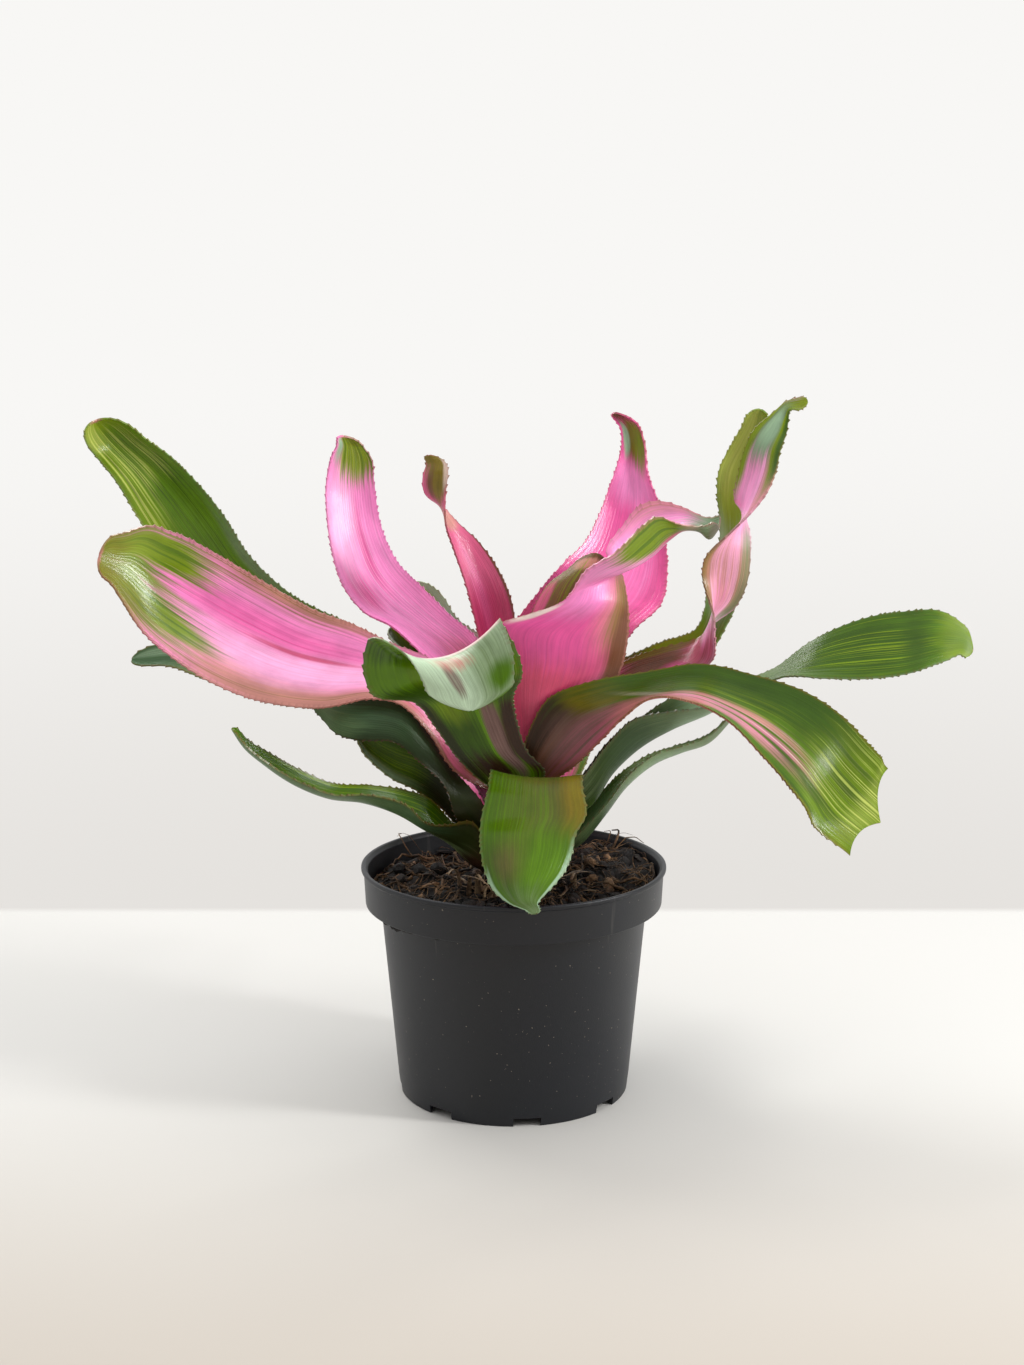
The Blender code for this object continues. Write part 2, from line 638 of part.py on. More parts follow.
def smooth(knots, values, at):
    """Smooth curve through the values, flat at neither end."""
    knots = np.asarray(knots)
    values = np.asarray(values)
    slopes = np.zeros_like(values)
    steps = np.diff(knots)
    rises = np.diff(values, axis=0) / steps[:, None]
    slopes[0] = rises[0]
    slopes[-1] = rises[-1]
    for i in range(1, len(knots) - 1):
        w = steps[i - 1] / (steps[i - 1] + steps[i])
        slopes[i] = rises[i - 1] * (1 - w) + rises[i] * w
    out = []
    for s in at:
        i = min(max(int(np.searchsorted(knots, s)) - 1, 0), len(steps) - 1)
        h = steps[i]
        t = (s - knots[i]) / h
        a = (1 + 2 * t) * (1 - t) ** 2 * values[i] + t * t * (3 - 2 * t) * values[i + 1]
        b = t * (1 - t) ** 2 * h * slopes[i] + t * t * (t - 1) * h * slopes[i + 1]
        out.append(a + b)
    return np.array(out)


def leaf_rows(spec, pitch, tip_rows):
    """Rows of (first margin, midrib, second margin) from base to just before the tip."""
    stations, tip = leaf_stations(spec)
    mids = [s[1] for s in stations] + [tip]
    knots = np.concatenate([[0.0], np.cumsum([np.linalg.norm(b - a) for a, b in zip(mids, mids[1:])])])
    body = knots[-2]
    count = max(2, int(round(body / pitch)))
    if "bite" in spec:
        tip_rows = 0
    at = list(np.linspace(0.0, body, count + 1))
    ends = [(knots[-1] - body) * math.sin(math.pi / 2 * (i + 1) / (tip_rows + 1)) for i in range(tip_rows)]
    at += [body + e for e in ends]
    spine = smooth(knots, mids, at)
    arms = []
    for side in (0, 2):
        arm = [s[side] - s[1] for s in stations]
        arm.append(arm[-1])
        arms.append(smooth(knots, arm, at))
    rows = []
    for i, s in enumerate(at):
        past = max(0.0, (s - body) / (knots[-1] - body))
        narrow = math.sqrt(max(0.0, 1 - past ** 2))
        rows.append((spine[i] + arms[0][i] * narrow, spine[i], spine[i] + arms[1][i] * narrow))
    return rows, tip


def across_row(row, share):
    """A point across the blade: share runs from -1 at the first margin to 1 at the second."""
    first, middle, second = row
    return first * share * (share - 1) / 2 + middle * (1 - share ** 2) + second * share * (share + 1) / 2


def leaf_surface(spec):
    """The open sheet of one leaf, all triangles, with a saw edge of small teeth."""
    rows, tip = leaf_rows(spec, spec["pitch"], 3)
    across = spec["across"]
    shares = [-1 + 2 * i / across for i in range(across + 1)]
    verts = []
    faces = []
    for row in rows:
        verts += [across_row(row, share) for share in shares]
    if "bite" in spec:
        ahead = rows[-1][1] - rows[-2][1]
        ahead /= np.linalg.norm(ahead)
        for c, share in enumerate(shares):
            verts[c - len(shares)] = verts[c - len(shares)] - ahead * spec["bite"] * 4 * abs(share) * (1 - abs(share))
    width = across + 1
    for r in range(len(rows) - 1):
        for c in range(across):
            a = r * width + c
            b = a + width
            if (r + c) % 2:
                faces += [(a, a + 1, b), (a + 1, b + 1, b)]
            else:
                faces += [(a, a + 1, b + 1), (a, b + 1, b)]
        if r < 2:
            continue
        for side in (0, across):
            low = verts[r * width + side]
            high = verts[(r + 1) * width + side]
            inner = verts[(r + 1) * width + (1 if side == 0 else across - 1)]
            out = high - inner
            out /= np.linalg.norm(out)
            verts.append(low + (high - low) * 0.8 + out * TOOTH)
            apex = len(verts) - 1
            pair = (r * width + side, (r + 1) * width + side)
            faces.append((pair[0], pair[1], apex) if side == 0 else (pair[1], pair[0], apex))
    if "bite" not in spec:
        verts.append(tip)
        end = (len(rows) - 1) * width
        for c in range(across):
            faces.append((end + c, end + c + 1, len(verts) - 1))
    return renumber(verts, faces)


def renumber(verts, faces):
    """Keep only the points that the faces use."""
    used = sorted({v for f in faces for v in f})
    place = {v: i for i, v in enumerate(used)}
    return [verts[v] for v in used], [tuple(place[v] for v in f) for f in faces]


def build_leaf(name, spec, group, mat):
    verts, faces = leaf_surface(spec)
    leaf = mesh_object(name, verts, faces, group, mat)
    thick = leaf.modifiers.new("thickness", "SOLIDIFY")
    thick.thickness = BLADE * MM
    thick.offset = 0.0
    thick.use_even_offset = False
    thick.use_rim = True
    return leaf


def main():
    clear_scene()
    group = new_collection("potted_bromeliad")
    cutters = new_collection("cutters")
    build_pot(group, cutters, material("pot_plastic", (0.03, 0.03, 0.035), 0.45))
    build_soil(group, material("soil_earth", (0.05, 0.03, 0.02), 0.95))
    build_stem(group, material("stem_skin", (0.20, 0.26, 0.09), 0.6))
    for name, spec in LEAVES.items():
        build_leaf(name, spec, group, material(name + "_skin", LEAF_COLOURS.get(name, GREEN), 0.35))


main()
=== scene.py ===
import math

import bpy
import numpy as np
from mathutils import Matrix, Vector
from mathutils import noise as ground_noise


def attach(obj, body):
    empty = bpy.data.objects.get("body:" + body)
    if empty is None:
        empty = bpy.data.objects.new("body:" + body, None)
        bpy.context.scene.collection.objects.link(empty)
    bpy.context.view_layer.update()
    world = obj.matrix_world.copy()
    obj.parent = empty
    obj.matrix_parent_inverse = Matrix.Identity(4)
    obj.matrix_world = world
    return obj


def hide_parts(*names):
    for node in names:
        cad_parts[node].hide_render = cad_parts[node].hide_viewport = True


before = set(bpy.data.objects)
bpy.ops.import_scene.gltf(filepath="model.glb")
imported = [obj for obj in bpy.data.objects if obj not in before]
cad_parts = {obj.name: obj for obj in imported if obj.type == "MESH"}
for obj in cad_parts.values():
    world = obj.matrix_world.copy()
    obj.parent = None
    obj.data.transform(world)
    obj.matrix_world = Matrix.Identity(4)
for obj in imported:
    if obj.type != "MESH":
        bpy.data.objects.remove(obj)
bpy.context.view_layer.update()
MM = 0.001

# Pot, the same sizes as the solid has.
POT_HEIGHT = 99.0
LIP_RADIUS = 65.0
COLLAR_RADIUS = 63.9
COLLAR_FOOT_RADIUS = 63.2
COLLAR_DEPTH = 16.2
COLLAR_FOOT = POT_HEIGHT - COLLAR_DEPTH
WALL_TOP_RADIUS = 56.8
BASE_RADIUS = 49.3
WALL = 1.5
FLOOR_UNDERSIDE = 3.6
FLOOR_TOP = 5.4
FLOOR_RING = 20.0
POT_SIDES = 144
CORNER_STEPS = 4
POT_CREASE = 35
NOTCH_COUNT = 8
NOTCH_WIDTH = 11.5
NOTCH_HEIGHT = 3.6
NOTCH_TURN = 6.5
NOTCH_DEPTH = 6.0
NOTCH_INSET = 0.8
CUTTER_BELOW = 2.0

# Soil and stem. A heap is (x, y, height, spread) and a lump (size, height, slice of noise).
SOIL_EDGE_HEIGHT = 88.0
SOIL_RADIUS = COLLAR_FOOT_RADIUS - WALL - 0.8
SOIL_MOUND = 6.0
SOIL_MOUND_RADIUS = 30.0
SOIL_SLOPE = (0.045, 0.025)
SOIL_HEAPS = [(43, 24, 4.5, 420), (-46, 18, 4.0, 380)]
SOIL_LUMPS = [(9.0, 2.6, 1.3), (4.0, 2.0, 4.1), (1.7, 0.9, 7.7)]
SOIL_SIDES = 220
SOIL_RINGS = 52
SOIL_RING_STEP = 1.15
SOIL_SKIRT = 3.0
SOIL_STEP_HEIGHT = 82.0
SOIL_FOOT_HEIGHT = 22.0
SOIL_FOOT_SHARE = 0.88
SOIL_CREASE = 60
STEM_X = 3.0
STEM_PROFILE = [
    (74.0, 9.0), (78.0, 10.5), (96.0, 10.5), (112.0, 9.5),
    (130.0, 8.0), (145.0, 6.2), (153.0, 4.6), (157.0, 2.4)]
STEM_SIDES = 40
STEM_RING_PITCH = 1.5
STEM_INSET = 0.2
SCAR_HEIGHT = 0.35
SCAR_TURN = 1.9

# What lies loose on the soil. Sizes are given with their shares.
CRUMB_SHAPES = [(1.0, 0.8, 0.7), (1.5, 0.6, 0.35), (1.2, 1.0, 0.4)]
CRUMB_SIZES = {0.8: 0.34, 1.2: 0.3, 1.8: 0.24, 3.0: 0.12}
CRUMB_COUNT = 620
CRUMB_WOBBLE = 0.35
CRUMB_FLAT = -0.6
CHIP_EVERY = 8
ROOT_SIZES = {0.16: 0.36, 0.26: 0.36, 0.4: 0.2, 0.8: 0.08}
ROOT_COUNT = 420
ROOT_REACH = 60.3
RAISED_ROOTS = 0.45
RIM_BEARINGS = (35, 39, 43, 47, 138, 143)
HUSK_COUNT = 46
FRONT_HUSK_COUNT = 34
HUSK_FOOT = 89.0
HUSK_TAPER = 0.3
HUSK_FLATNESS = 0.16
STRAND_RINGS = 15
STRAND_SIDES = 5
STRAND_TAPER = 0.35

# Leaves. Teeth stand 2 to 4 rows apart, and none stands in the first or last rows.
BLADE = 0.8
ROW_PITCH = 1.0
TIP_ROWS = 12
CELLS_ACROSS = 24
TOOTH = 0.8
TOOTH_LEAN = 0.7
FIRST_TOOTH = 8
LAST_TOOTH = 5
BITE_REACH = 14.0
WELD = 0.02
BLADE_CREASE = 55
BASE_LIFT = 1.25
EYE_DISTANCE = 840.0
EYE_HEIGHT = 339.0

# Camera and table.
LENS = 53.75
SENSOR = 36.0
SHIFT = -0.00125
LOOK_DOWN = 10.9
TABLE_SIZE = 16000.0

# Each leaf was read off one viewpoint. A point is (across, up, depth): where the line
# from the viewer's eye meets the upright plane through the pot's axis, and how far
# behind that plane (or in front, when negative) the point really is. A leaf has its
# base (bearing in degrees, height and width on the stem), then stations to the tip:
# (first margin, second margin, hollow) or (first margin, midrib, second margin). A leaf
# with a bite has no point: its last station is its end, cut back by the bite.
LEAVES = {
    "leaf_front_drooping": {"base": (-78, 100, 12), "tip": (9.9, 76.2, -70.5), "stations": [
        ((17, 113, -14.5), (-7, 113, -14.5), -1.5), ((23, 127, -18), (-8.5, 128, -18), -2),
        ((27.5, 135, -22.5), (9, 133.5, -22), (-9.5, 137, -22)),
        ((28.7, 137.3, -28), (9, 136, -28.5), (-9.5, 139.3, -28)),
        ((29.3, 131, -35), (8.5, 130.5, -36.5), (-10.7, 131.5, -35)),
        ((30.5, 119, -41.5), (8, 118.5, -44), (-13.8, 117.5, -42)),
        ((26.5, 111.5, -47), (-14.2, 110, -47.5), -3), ((24.8, 103, -52), (-13.7, 102, -52.5), -3),
        ((21.7, 95, -58), (-12.2, 95, -57.5), -3), ((15.5, 87, -64), (-8, 86, -64), -2),
        ((11, 82, -67), (-1.5, 80.5, -67.5), -1), ((10.4, 80, -68.3), (4.5, 78, -68.5), 0)]},
    "leaf_front_folded": {"base": (-108, 124, 10), "tip": (-18, 165.3, -57), "stations": [
        ((-16, 137, -15), (13, 138, -14.5), -1), ((-25.3, 147, -18), (5.5, 148, -16), -1),
        ((-33, 158, -21), (1.5, 160, -18), 0), ((-41.5, 168.5, -25), (-0.3, 171, -22), 1),
        ((-60, 173, -31), (-28, 180, -30), (3.5, 182.5, -26)),
        ((-63, 185, -37), (-30, 186, -35), (1, 191.5, -32)),
        ((-60.5, 195.5, -43), (-32, 187.5, -41), (-5.3, 203.3, -40)),
        ((-47, 190.5, -49), (-26, 184.5, -50), (-2.5, 197, -48)),
        ((-40.3, 182, -52), (-21, 177, -54), (0, 187, -52)),
        ((-36.8, 174, -53), (-18, 170.5, -56), (0, 177.5, -54))]},
    "leaf_centre_pink": {"base": (-58, 140, 7), "tip": (84.7, 242, 6), "stations": [
        ((19, 153, -5), (1, 156, -6), 1), ((33, 167, -4), (-3.5, 174, -9), 3),
        ((44, 181, -4), (-6.5, 190, -12), 5), ((47.5, 196, -4), (-6, 202, -14), 6),
        ((47.8, 205, -3), (5, 205.7, -14), 6), ((47, 213, -1), (17.5, 210, -14), 6),
        ((44.5, 223.5, 5), (37, 220.5, -8), (24, 215.3, -14)),
        ((38.5, 233, 12), (45, 223.8, -7), (30.5, 225, -16)),
        ((45.5, 243.5, 17), (51, 227, -3), (42, 232, -17)),
        ((52, 251.5, 18), (58, 231.5, 2), (52, 242, -14)),
        ((61.5, 253.3, 18), (65, 238, 4), (60, 247, -10)),
        ((71, 250.3, 15), (71, 241.8, 5), (68, 244, -5)), ((79, 246.8, 12), (77.5, 241, 5), (76, 243, 0)),
        ((83.3, 247, 10), (81, 238, 4), (80, 243.5, 0))]},
    "leaf_right_arching": {"base": (-46, 119, 9), "tip": (157, 115.5, -55.5), "bite": 5.0, "stations": [
        ((4, 146, -11), (17, 134.5, -13), 1), ((8, 160, -12.5), (26, 141.5, -18), 2),
        ((15.5, 171, -12), (36, 151.5, -25), 3), ((32, 177.5, -12.5), (46, 162, -31), 4),
        ((55, 181.5, -10.5), (58, 170.5, -34), 4), ((78, 185, -10), (74, 169, -38), 3),
        ((100, 180.5, -14), (90, 161, -43), 3), ((122, 173.3, -20), (104, 147, -49), 2),
        ((138.5, 162.5, -26), (115.5, 134, -55), 2), ((150.3, 150.3, -32), (124.3, 122.5, -60), 3),
        ((155.3, 145, -36), (144, 127, -50), (128.3, 114.5, -63)),
        ((158.3, 140, -39), (156, 116.5, -55), (143.5, 102, -64))]},
    "leaf_left_broad_pink": {"base": (-170, 129, 8), "tip": (-172, 230.5, -38), "stations": [
        ((-26, 140, -11), (-8, 160, -2), 1), ((-36, 156, -12), (-22, 177, 1), 2),
        ((-48, 168, -12), (-36, 188, 1), 3), ((-60, 170.3, -13.5), (-50, 193.5, 0), 4),
        ((-80, 166.5, -20), (-66, 201.5, -3), 5), ((-100, 168, -27), (-83, 208, -8), 5),
        ((-120, 174, -33), (-105, 220.5, -13), 5), ((-140, 185.7, -38), (-125, 232.5, -18), 5),
        ((-156, 200.3, -42), (-141, 240.5, -23), 6), ((-163.5, 212.5, -43), (-153, 243, -28), 5),
        ((-168, 219.5, -43), (-162, 240, -33), 4)]},
    "leaf_left_upper_green": {"base": (146, 136, 7), "tip": (-171.5, 286.5, 77), "stations": [
        ((-18, 157, 10), (-12, 174, 15), 2), ((-48, 171, 19), (-42, 189, 26), 3),
        ((-80, 187, 32), (-70, 203, 40), 3), ((-110, 204, 46), (-93.5, 215.3, 54), 4),
        ((-132, 218, 57), (-110.5, 232, 65), 4), ((-146, 232, 65), (-119.5, 247, 73), 4),
        ((-156, 248, 71), (-129.5, 260, 78), 5), ((-164, 262, 75), (-141, 271.8, 81), 6),
        ((-173, 273.5, 77), (-153.5, 281.3, 82), 6)]},
    "leaf_left_behind_pink": {"base": (170, 116, 7), "tip": (-160, 187, 23), "stations": [
        ((-21, 139, -1), (-15, 150, 2), 1), ((-45, 155, 3), (-40, 169, 7), 2),
        ((-75, 165, 9), (-70, 181, 14), 2), ((-100, 168.3, 14), (-96, 188, 20), 3),
        ((-128, 178, 18), (-122, 197, 24), 3), ((-147, 184.5, 21), (-144, 194.5, 26), 2)]},
    "leaf_upright_pink": {"base": (130, 143, 6), "tip": (-69.7, 280.2, 40), "stations": [
        ((-21, 172, 5), (-9, 180, 9), 1), ((-36, 187, 8), (-15, 195.5, 15), 3),
        ((-50.5, 200.7, 13), (-26.5, 206, 21), 4), ((-62.5, 207.3, 19), (-38, 217.5, 28), 4),
        ((-71.3, 219, 24), (-47.3, 227, 34), 3), ((-75.5, 234, 30), (-52.7, 237, 40), 3),
        ((-77.3, 250, 35), (-56, 248.5, 45), 3), ((-77, 262, 38), (-57.5, 262, 47), 3),
        ((-74.7, 272, 38), (-58.6, 271.5, 46), 3), ((-72.5, 277, 38), (-61.5, 275.7, 45), 2)]},
    "leaf_back_pale": {"base": (104, 131, 6), "tip": (-41, 219.7, 40), "stations": [
        ((-10, 175, 20), (-1, 185, 21), 1), ((-23, 189, 28), (-13.5, 197, 30), 1),
        ((-33, 199, 34), (-24, 205, 36), 1), ((-38, 209, 38), (-29.3, 213.6, 40), 1)]},
    "leaf_back_left_short": {"base": (126, 122, 6), "tip": (-51.5, 200.7, 35), "stations": [
        ((-17, 156, 15), (-8, 166, 18), 1), ((-33, 177, 28), (-22, 187, 31), 1),
        ((-47, 191, 33), (-38, 198.5, 36), 1)]},
    "leaf_centre_twisted": {"base": (100, 150, 6), "tip": (-34.8, 272.3, 11), "stations": [
        ((-12, 185, 4), (0, 190, 5), 2), ((-15, 199, 5), (0.3, 204, 7), 3),
        ((-20, 219, 6), (-4.4, 221, 10), 3), ((-25, 234, 6), (-14, 236, 13), 2),
        ((-28.2, 244.5, 6), (-24.2, 245.5, 15), 1), ((-28.5, 251, 6), (-29.4, 251, 16), 1),
        ((-28, 258, 7), (-36, 256, 15), 1), ((-27, 266, 8), (-37, 264.5, 13), 2),
        ((-27.8, 269, 9), (-35.8, 269, 12), 1)]},
    "leaf_back_right_magenta": {"base": (55, 144, 6), "tip": (41.3, 289.7, 68), "stations": [
        ((1, 183, 12), (24, 168, 8), 2), ((-1, 198, 17), (38, 184, 13), 3),
        ((9, 214, 27), (51, 200.5, 21), 4), ((20, 227, 37), (61.5, 211, 30), 5),
        ((30, 237, 47), (63.7, 223, 39), 5), ((35, 247, 55), (62.8, 237, 48), 4),
        ((39, 258, 62), (60, 252, 56), 3), ((43, 270, 67), (55.2, 265, 62), 3),
        ((44.3, 278, 69), (53.8, 277, 66), 2), ((43, 284.5, 69), (50.8, 285, 67), 1)]},
    "leaf_inner_olive": {"base": (20, 150, 5), "tip": (33.3, 231.7, 14), "stations": [
        ((20, 180, 1), (3, 184, 0), 1), ((26, 196, 4), (5, 198, 3), 2), ((32, 208, 7), (8.5, 209, 7), 3),
        ((35.5, 219, 10), (15, 219.3, 11), 3), ((36.5, 226.5, 12), (23.5, 225.8, 14), 2)]},
    "leaf_right_twisted_pink": {"base": (5, 133, 7), "tip": (120.3, 294.2, 1), "stations": [
        ((28, 172, 5), (32, 160, 0), 1), ((48, 187, 8), (52, 173, 0), 2),
        ((62, 192, 10), (68, 177, -1), 2), ((77, 196, 11), (76, 188, 3), (82.8, 186, -4)),
        ((82, 201.5, 12), (80, 198, 1), (84, 197, -7)), ((86, 204.5, 11), (83, 206, 1), (83.3, 206, -8)),
        ((92, 209, 8), (87, 213, 2), (80.3, 215, -6)), ((96.8, 219, 5), (89, 223, 1), (78.4, 224, -4)),
        ((98, 232, 6), (90, 233, 0), (81, 232, -5)), ((97.2, 242, 9), (92, 241.5, 2), (89.9, 240.5, -7)),
        ((94.5, 249, 10), (95, 247, 2), (97, 247.5, -8)), ((91.3, 254, 8), (97, 254, 2), (103, 255, -6)),
        ((92.3, 264, 6), (100, 265, 2), (107.6, 265, -4)),
        ((95, 275, 4), (102, 275, 1), (109.6, 274.5, -3)),
        ((99, 283.5, 2), (106, 283, 1), (112, 282, -1)),
        ((105, 288.8, 1), (109, 288.3, 1), (112.6, 287.3, 0)),
        ((111, 294, 2), (112, 292.3, 1), (113.2, 290.6, 0)),
        ((116.5, 296, 2), (116.8, 293.2, 1), (117, 290.8, 0))]},
    "leaf_right_upright_green": {"base": (32, 124, 7), "tip": (101, 291, 38), "stations": [
        ((26, 176, 14), (30, 160, 10), 1), ((48, 188.5, 19), (52, 174, 14), 2),
        ((62, 194.5, 24), (66, 182, 19), 2), ((76, 200, 29), (82, 190, 23), 2),
        ((79.5, 208, 32), (89, 202, 26), 2), ((80.5, 218, 35), (94, 214, 29), 2),
        ((84.5, 232, 38), (97, 229, 32), 2), ((85.3, 245, 41), (96, 244, 34), 2),
        ((83.8, 256, 43), (97, 256, 36), 2), ((84.4, 266, 43), (99, 266, 37), 2),
        ((90, 278, 42), (103, 276, 37), 2), ((94, 285.5, 40), (105, 283, 36), 2)]},
    "leaf_left_dark": {"base": (-143, 107, 8), "tip": (-84.5, 170.5, -1), "stations": [
        ((-15, 127.5, -11.5), (-24.5, 119, -13), 1), ((-25.5, 139.5, -4.5), (-29, 132, -13), 1),
        ((-35, 155.5, -4), (-40, 143.3, -15), 2), ((-44, 168, -4), (-51, 151.8, -14), 2),
        ((-56, 173, -2), (-62, 152.2, -13), 2), ((-65, 173, -2), (-69, 153, -11), 2),
        ((-73, 172.5, -1), (-76, 156.3, -8), 2), ((-79, 172, 0), (-81.8, 163, -4), 1)]},
    "leaf_left_low_green": {"base": (176, 103, 7), "tip": (-66.5, 157.5, 1), "stations": [
        ((-24, 115, 3), (-20, 126, 4), 1), ((-31, 123, 3), (-27, 138, 5), 2),
        ((-42, 131, 2), (-38, 147, 5), 2), ((-52, 136, 1), (-49, 151, 4), 2),
        ((-61.3, 144.3, 0), (-58, 155, 3), 2)]},
    "leaf_left_long_narrow": {"base": (-163, 95, 10), "tip": (-118.7, 157.2, -39), "stations": [
        ((-17, 116.5, -18), (-19, 99, -13), (-18, 110, -4)),
        ((-27, 115.6, -20), (-27, 107, -14), (-26.5, 117, -5)),
        ((-37, 116.3, -22), (-38, 114.5, -15), (-36, 127, -7)),
        ((-46, 124.5, -25), (-50, 120.9, -17), (-47, 131, -9)),
        ((-62, 128.7, -30), (-64, 125.6, -22), (-62, 133, -15)),
        ((-76, 128.7, -34), (-78, 127.5, -27), (-76, 133.5, -20)),
        ((-92, 135, -38), (-92, 133.1, -32), (-91, 139.8, -26)),
        ((-106, 144, -41), (-106, 142.7, -36), (-105.5, 148.3, -32)),
        ((-113, 150, -42), (-113.3, 149, -38), (-112.5, 152.8, -35))]},
    "leaf_right_long_grey": {"base": (-24, 109, 8), "tip": (192, 191, 14), "stations": [
        ((22, 128, -3), (24, 117, -8), (25, 130, -13)), ((31, 140, -2), (33.5, 125, -8), (32, 140, -15)),
        ((40, 152, -1), (42, 138.3, -8), (39.5, 150.5, -16)),
        ((52, 161, -1), (53, 149, -8), (50, 161, -16)), ((65, 170, 0), (67, 157.5, -6), (64, 164.5, -14)),
        ((80, 174.5, 2), (82, 164.5, -3), (80, 166.5, -9)), ((95, 178, 8), (97, 174, 4), (98, 173, 1)),
        ((109, 183, 12), (111, 181, 6), (113, 179.6, 0)),
        ((124, 194.3, 13), (127, 188, 5), (130, 179, -3)),
        ((142, 203, 15), (145, 192, 7), (148, 178.8, -2)),
        ((162, 207.2, 18), (165, 194, 10), (166, 181.2, 1)),
        ((181, 206.3, 21), (182, 196, 14), (181, 186.4, 7)),
        ((189.3, 200, 20), (190, 194, 15), (188, 188.6, 10))]},
    "leaf_right_low_grey": {"base": (-4, 99, 9), "tip": (93, 163, 33), "stations": [
        ((25, 114, 7), (29, 108, 1), (29, 113, -5)), ((34, 126, 10), (38, 119.5, 4), (39.5, 125, -2)),
        ((44, 137, 15), (47.5, 132.3, 9), (48.5, 137, 3)),
        ((56, 145.5, 20), (59, 142, 14), (59.5, 146, 8)),
        ((70, 150.5, 26), (71, 147.3, 21), (71, 149.7, 15)),
        ((82, 155, 31), (82, 151.3, 27), (82, 154, 22))]},
    "leaf_rear_long": {"base": (95, 110, 9), "tip": (0, 165, 130), "stations": [
        ((-9, 138, 19), (11, 138, 19), 2), ((-14, 158, 35), (16, 158, 35), 3),
        ((-16, 170, 60), (18, 170, 60), 4), ((-15, 174, 85), (17, 174, 85), 4),
        ((-12, 171, 110), (13, 171, 110), 3)]},
    "leaf_rear_right": {"base": (58, 102, 8), "tip": (34, 170, 118), "stations": [
        ((9, 128, 17), (21, 124, 10), 1), ((14, 142, 35), (28, 137, 26), 2),
        ((18, 156, 58), (33, 150, 50), 3), ((22, 165, 80), (36, 160, 75), 3),
        ((26, 170, 100), (38, 166, 97), 2)]},
    "leaf_rear_left": {"base": (130, 98, 8), "tip": (-68, 167, 100), "stations": [
        ((-20, 122, 13), (-8, 128, 19), 1), ((-30, 135, 27), (-16, 142, 35), 2),
        ((-42, 146, 46), (-26, 153, 53), 3), ((-54, 155, 63), (-38, 163, 71), 3),
        ((-66, 160, 81), (-50, 168, 87), 2)]},
}


def stem_radius(height):
    """Radius of the stem at a height."""
    heights = [h for h, r in STEM_PROFILE]
    radii = [r for h, r in STEM_PROFILE]
    return float(np.interp(height, heights, radii))


def sight(point):
    """Turn (across, up, depth) into a place in millimetres."""
    across, up, depth = point
    reach = 1.0 + depth / EYE_DISTANCE
    return np.array([across * reach, depth, EYE_HEIGHT + reach * (up - EYE_HEIGHT)])


def base_station(bearing, height, width):
    """Margins and midrib where a leaf leaves the stem, standing just off its skin."""
    radius = stem_radius(height) + BASE_LIFT
    spread = width / 2 / radius
    middle = math.radians(bearing)
    out = []
    for turn in (middle + spread, middle, middle - spread):
        x = STEM_X + radius * math.cos(turn)
        out.append(np.array([x, radius * math.sin(turn), height]))
    return out


def leaf_stations(spec):
    """First margin, midrib and second margin at each station, in millimetres."""
    raw = spec["stations"]
    ends = [(sight(s[0]), sight(s[2] if isinstance(s[2], tuple) else s[1])) for s in raw]
    tip = sight(spec["tip"])
    base = base_station(*spec["base"])
    spine = [base[1]] + [(a + b) / 2 for a, b in ends] + [tip]
    out = [base]
    for i, station in enumerate(raw):
        first, second = ends[i]
        if isinstance(station[2], tuple):
            middle = sight(station[1])
        else:
            along = spine[i + 2] - spine[i]
            upper = np.cross(second - first, along)
            upper /= np.linalg.norm(upper)
            middle = (first + second) / 2 - upper * station[2]
        out.append([first, middle, second])
    return out, tip


def smooth(knots, values, at):
    """Smooth curve through the values, flat at neither end."""
    knots = np.asarray(knots)
    values = np.asarray(values)
    slopes = np.zeros_like(values)
    steps = np.diff(knots)
    rises = np.diff(values, axis=0) / steps[:, None]
    slopes[0] = rises[0]
    slopes[-1] = rises[-1]
    for i in range(1, len(knots) - 1):
        weight = steps[i - 1] / (steps[i - 1] + steps[i])
        slopes[i] = rises[i - 1] * (1 - weight) + rises[i] * weight
    out = []
    for place in at:
        i = min(max(int(np.searchsorted(knots, place)) - 1, 0), len(steps) - 1)
        step = steps[i]
        t = (place - knots[i]) / step
        held = (1 + 2 * t) * (1 - t) ** 2 * values[i] + t * t * (3 - 2 * t) * values[i + 1]
        bent = t * (1 - t) ** 2 * step * slopes[i] + t * t * (t - 1) * step * slopes[i + 1]
        out.append(held + bent)
    return np.array(out)


def leaf_rows(spec):
    """Rows of (first margin, midrib, second margin) from base to just before the tip."""
    stations, tip = leaf_stations(spec)
    mids = [s[1] for s in stations] + [tip]
    strides = [np.linalg.norm(b - a) for a, b in zip(mids, mids[1:])]
    knots = np.concatenate([[0.0], np.cumsum(strides)])
    body = knots[-2]
    point_length = knots[-1] - body
    tip_rows = 0 if "bite" in spec else TIP_ROWS
    at = list(np.linspace(0.0, body, max(2, int(round(body / ROW_PITCH))) + 1))
    for i in range(tip_rows):
        at.append(body + point_length * math.sin(math.pi / 2 * (i + 1) / (tip_rows + 1)))
    spine = smooth(knots, mids, at)
    arms = []
    for side in (0, 2):
        arm = [s[side] - s[1] for s in stations]
        arm.append(arm[-1])
        arms.append(smooth(knots, arm, at))
    rows = []
    for i, place in enumerate(at):
        past = max(0.0, (place - body) / point_length)
        narrow = math.sqrt(max(0.0, 1 - past ** 2))
        rows.append((spine[i] + arms[0][i] * narrow, spine[i], spine[i] + arms[1][i] * narrow))
    return rows, tip


def across_row(row, share):
    """A point across the blade: share runs from -1 at the first margin to 1 at the second."""
    first, middle, second = row
    sides = first * share * (share - 1) / 2, second * share * (share + 1) / 2
    return sides[0] + middle * (1 - share ** 2) + sides[1]


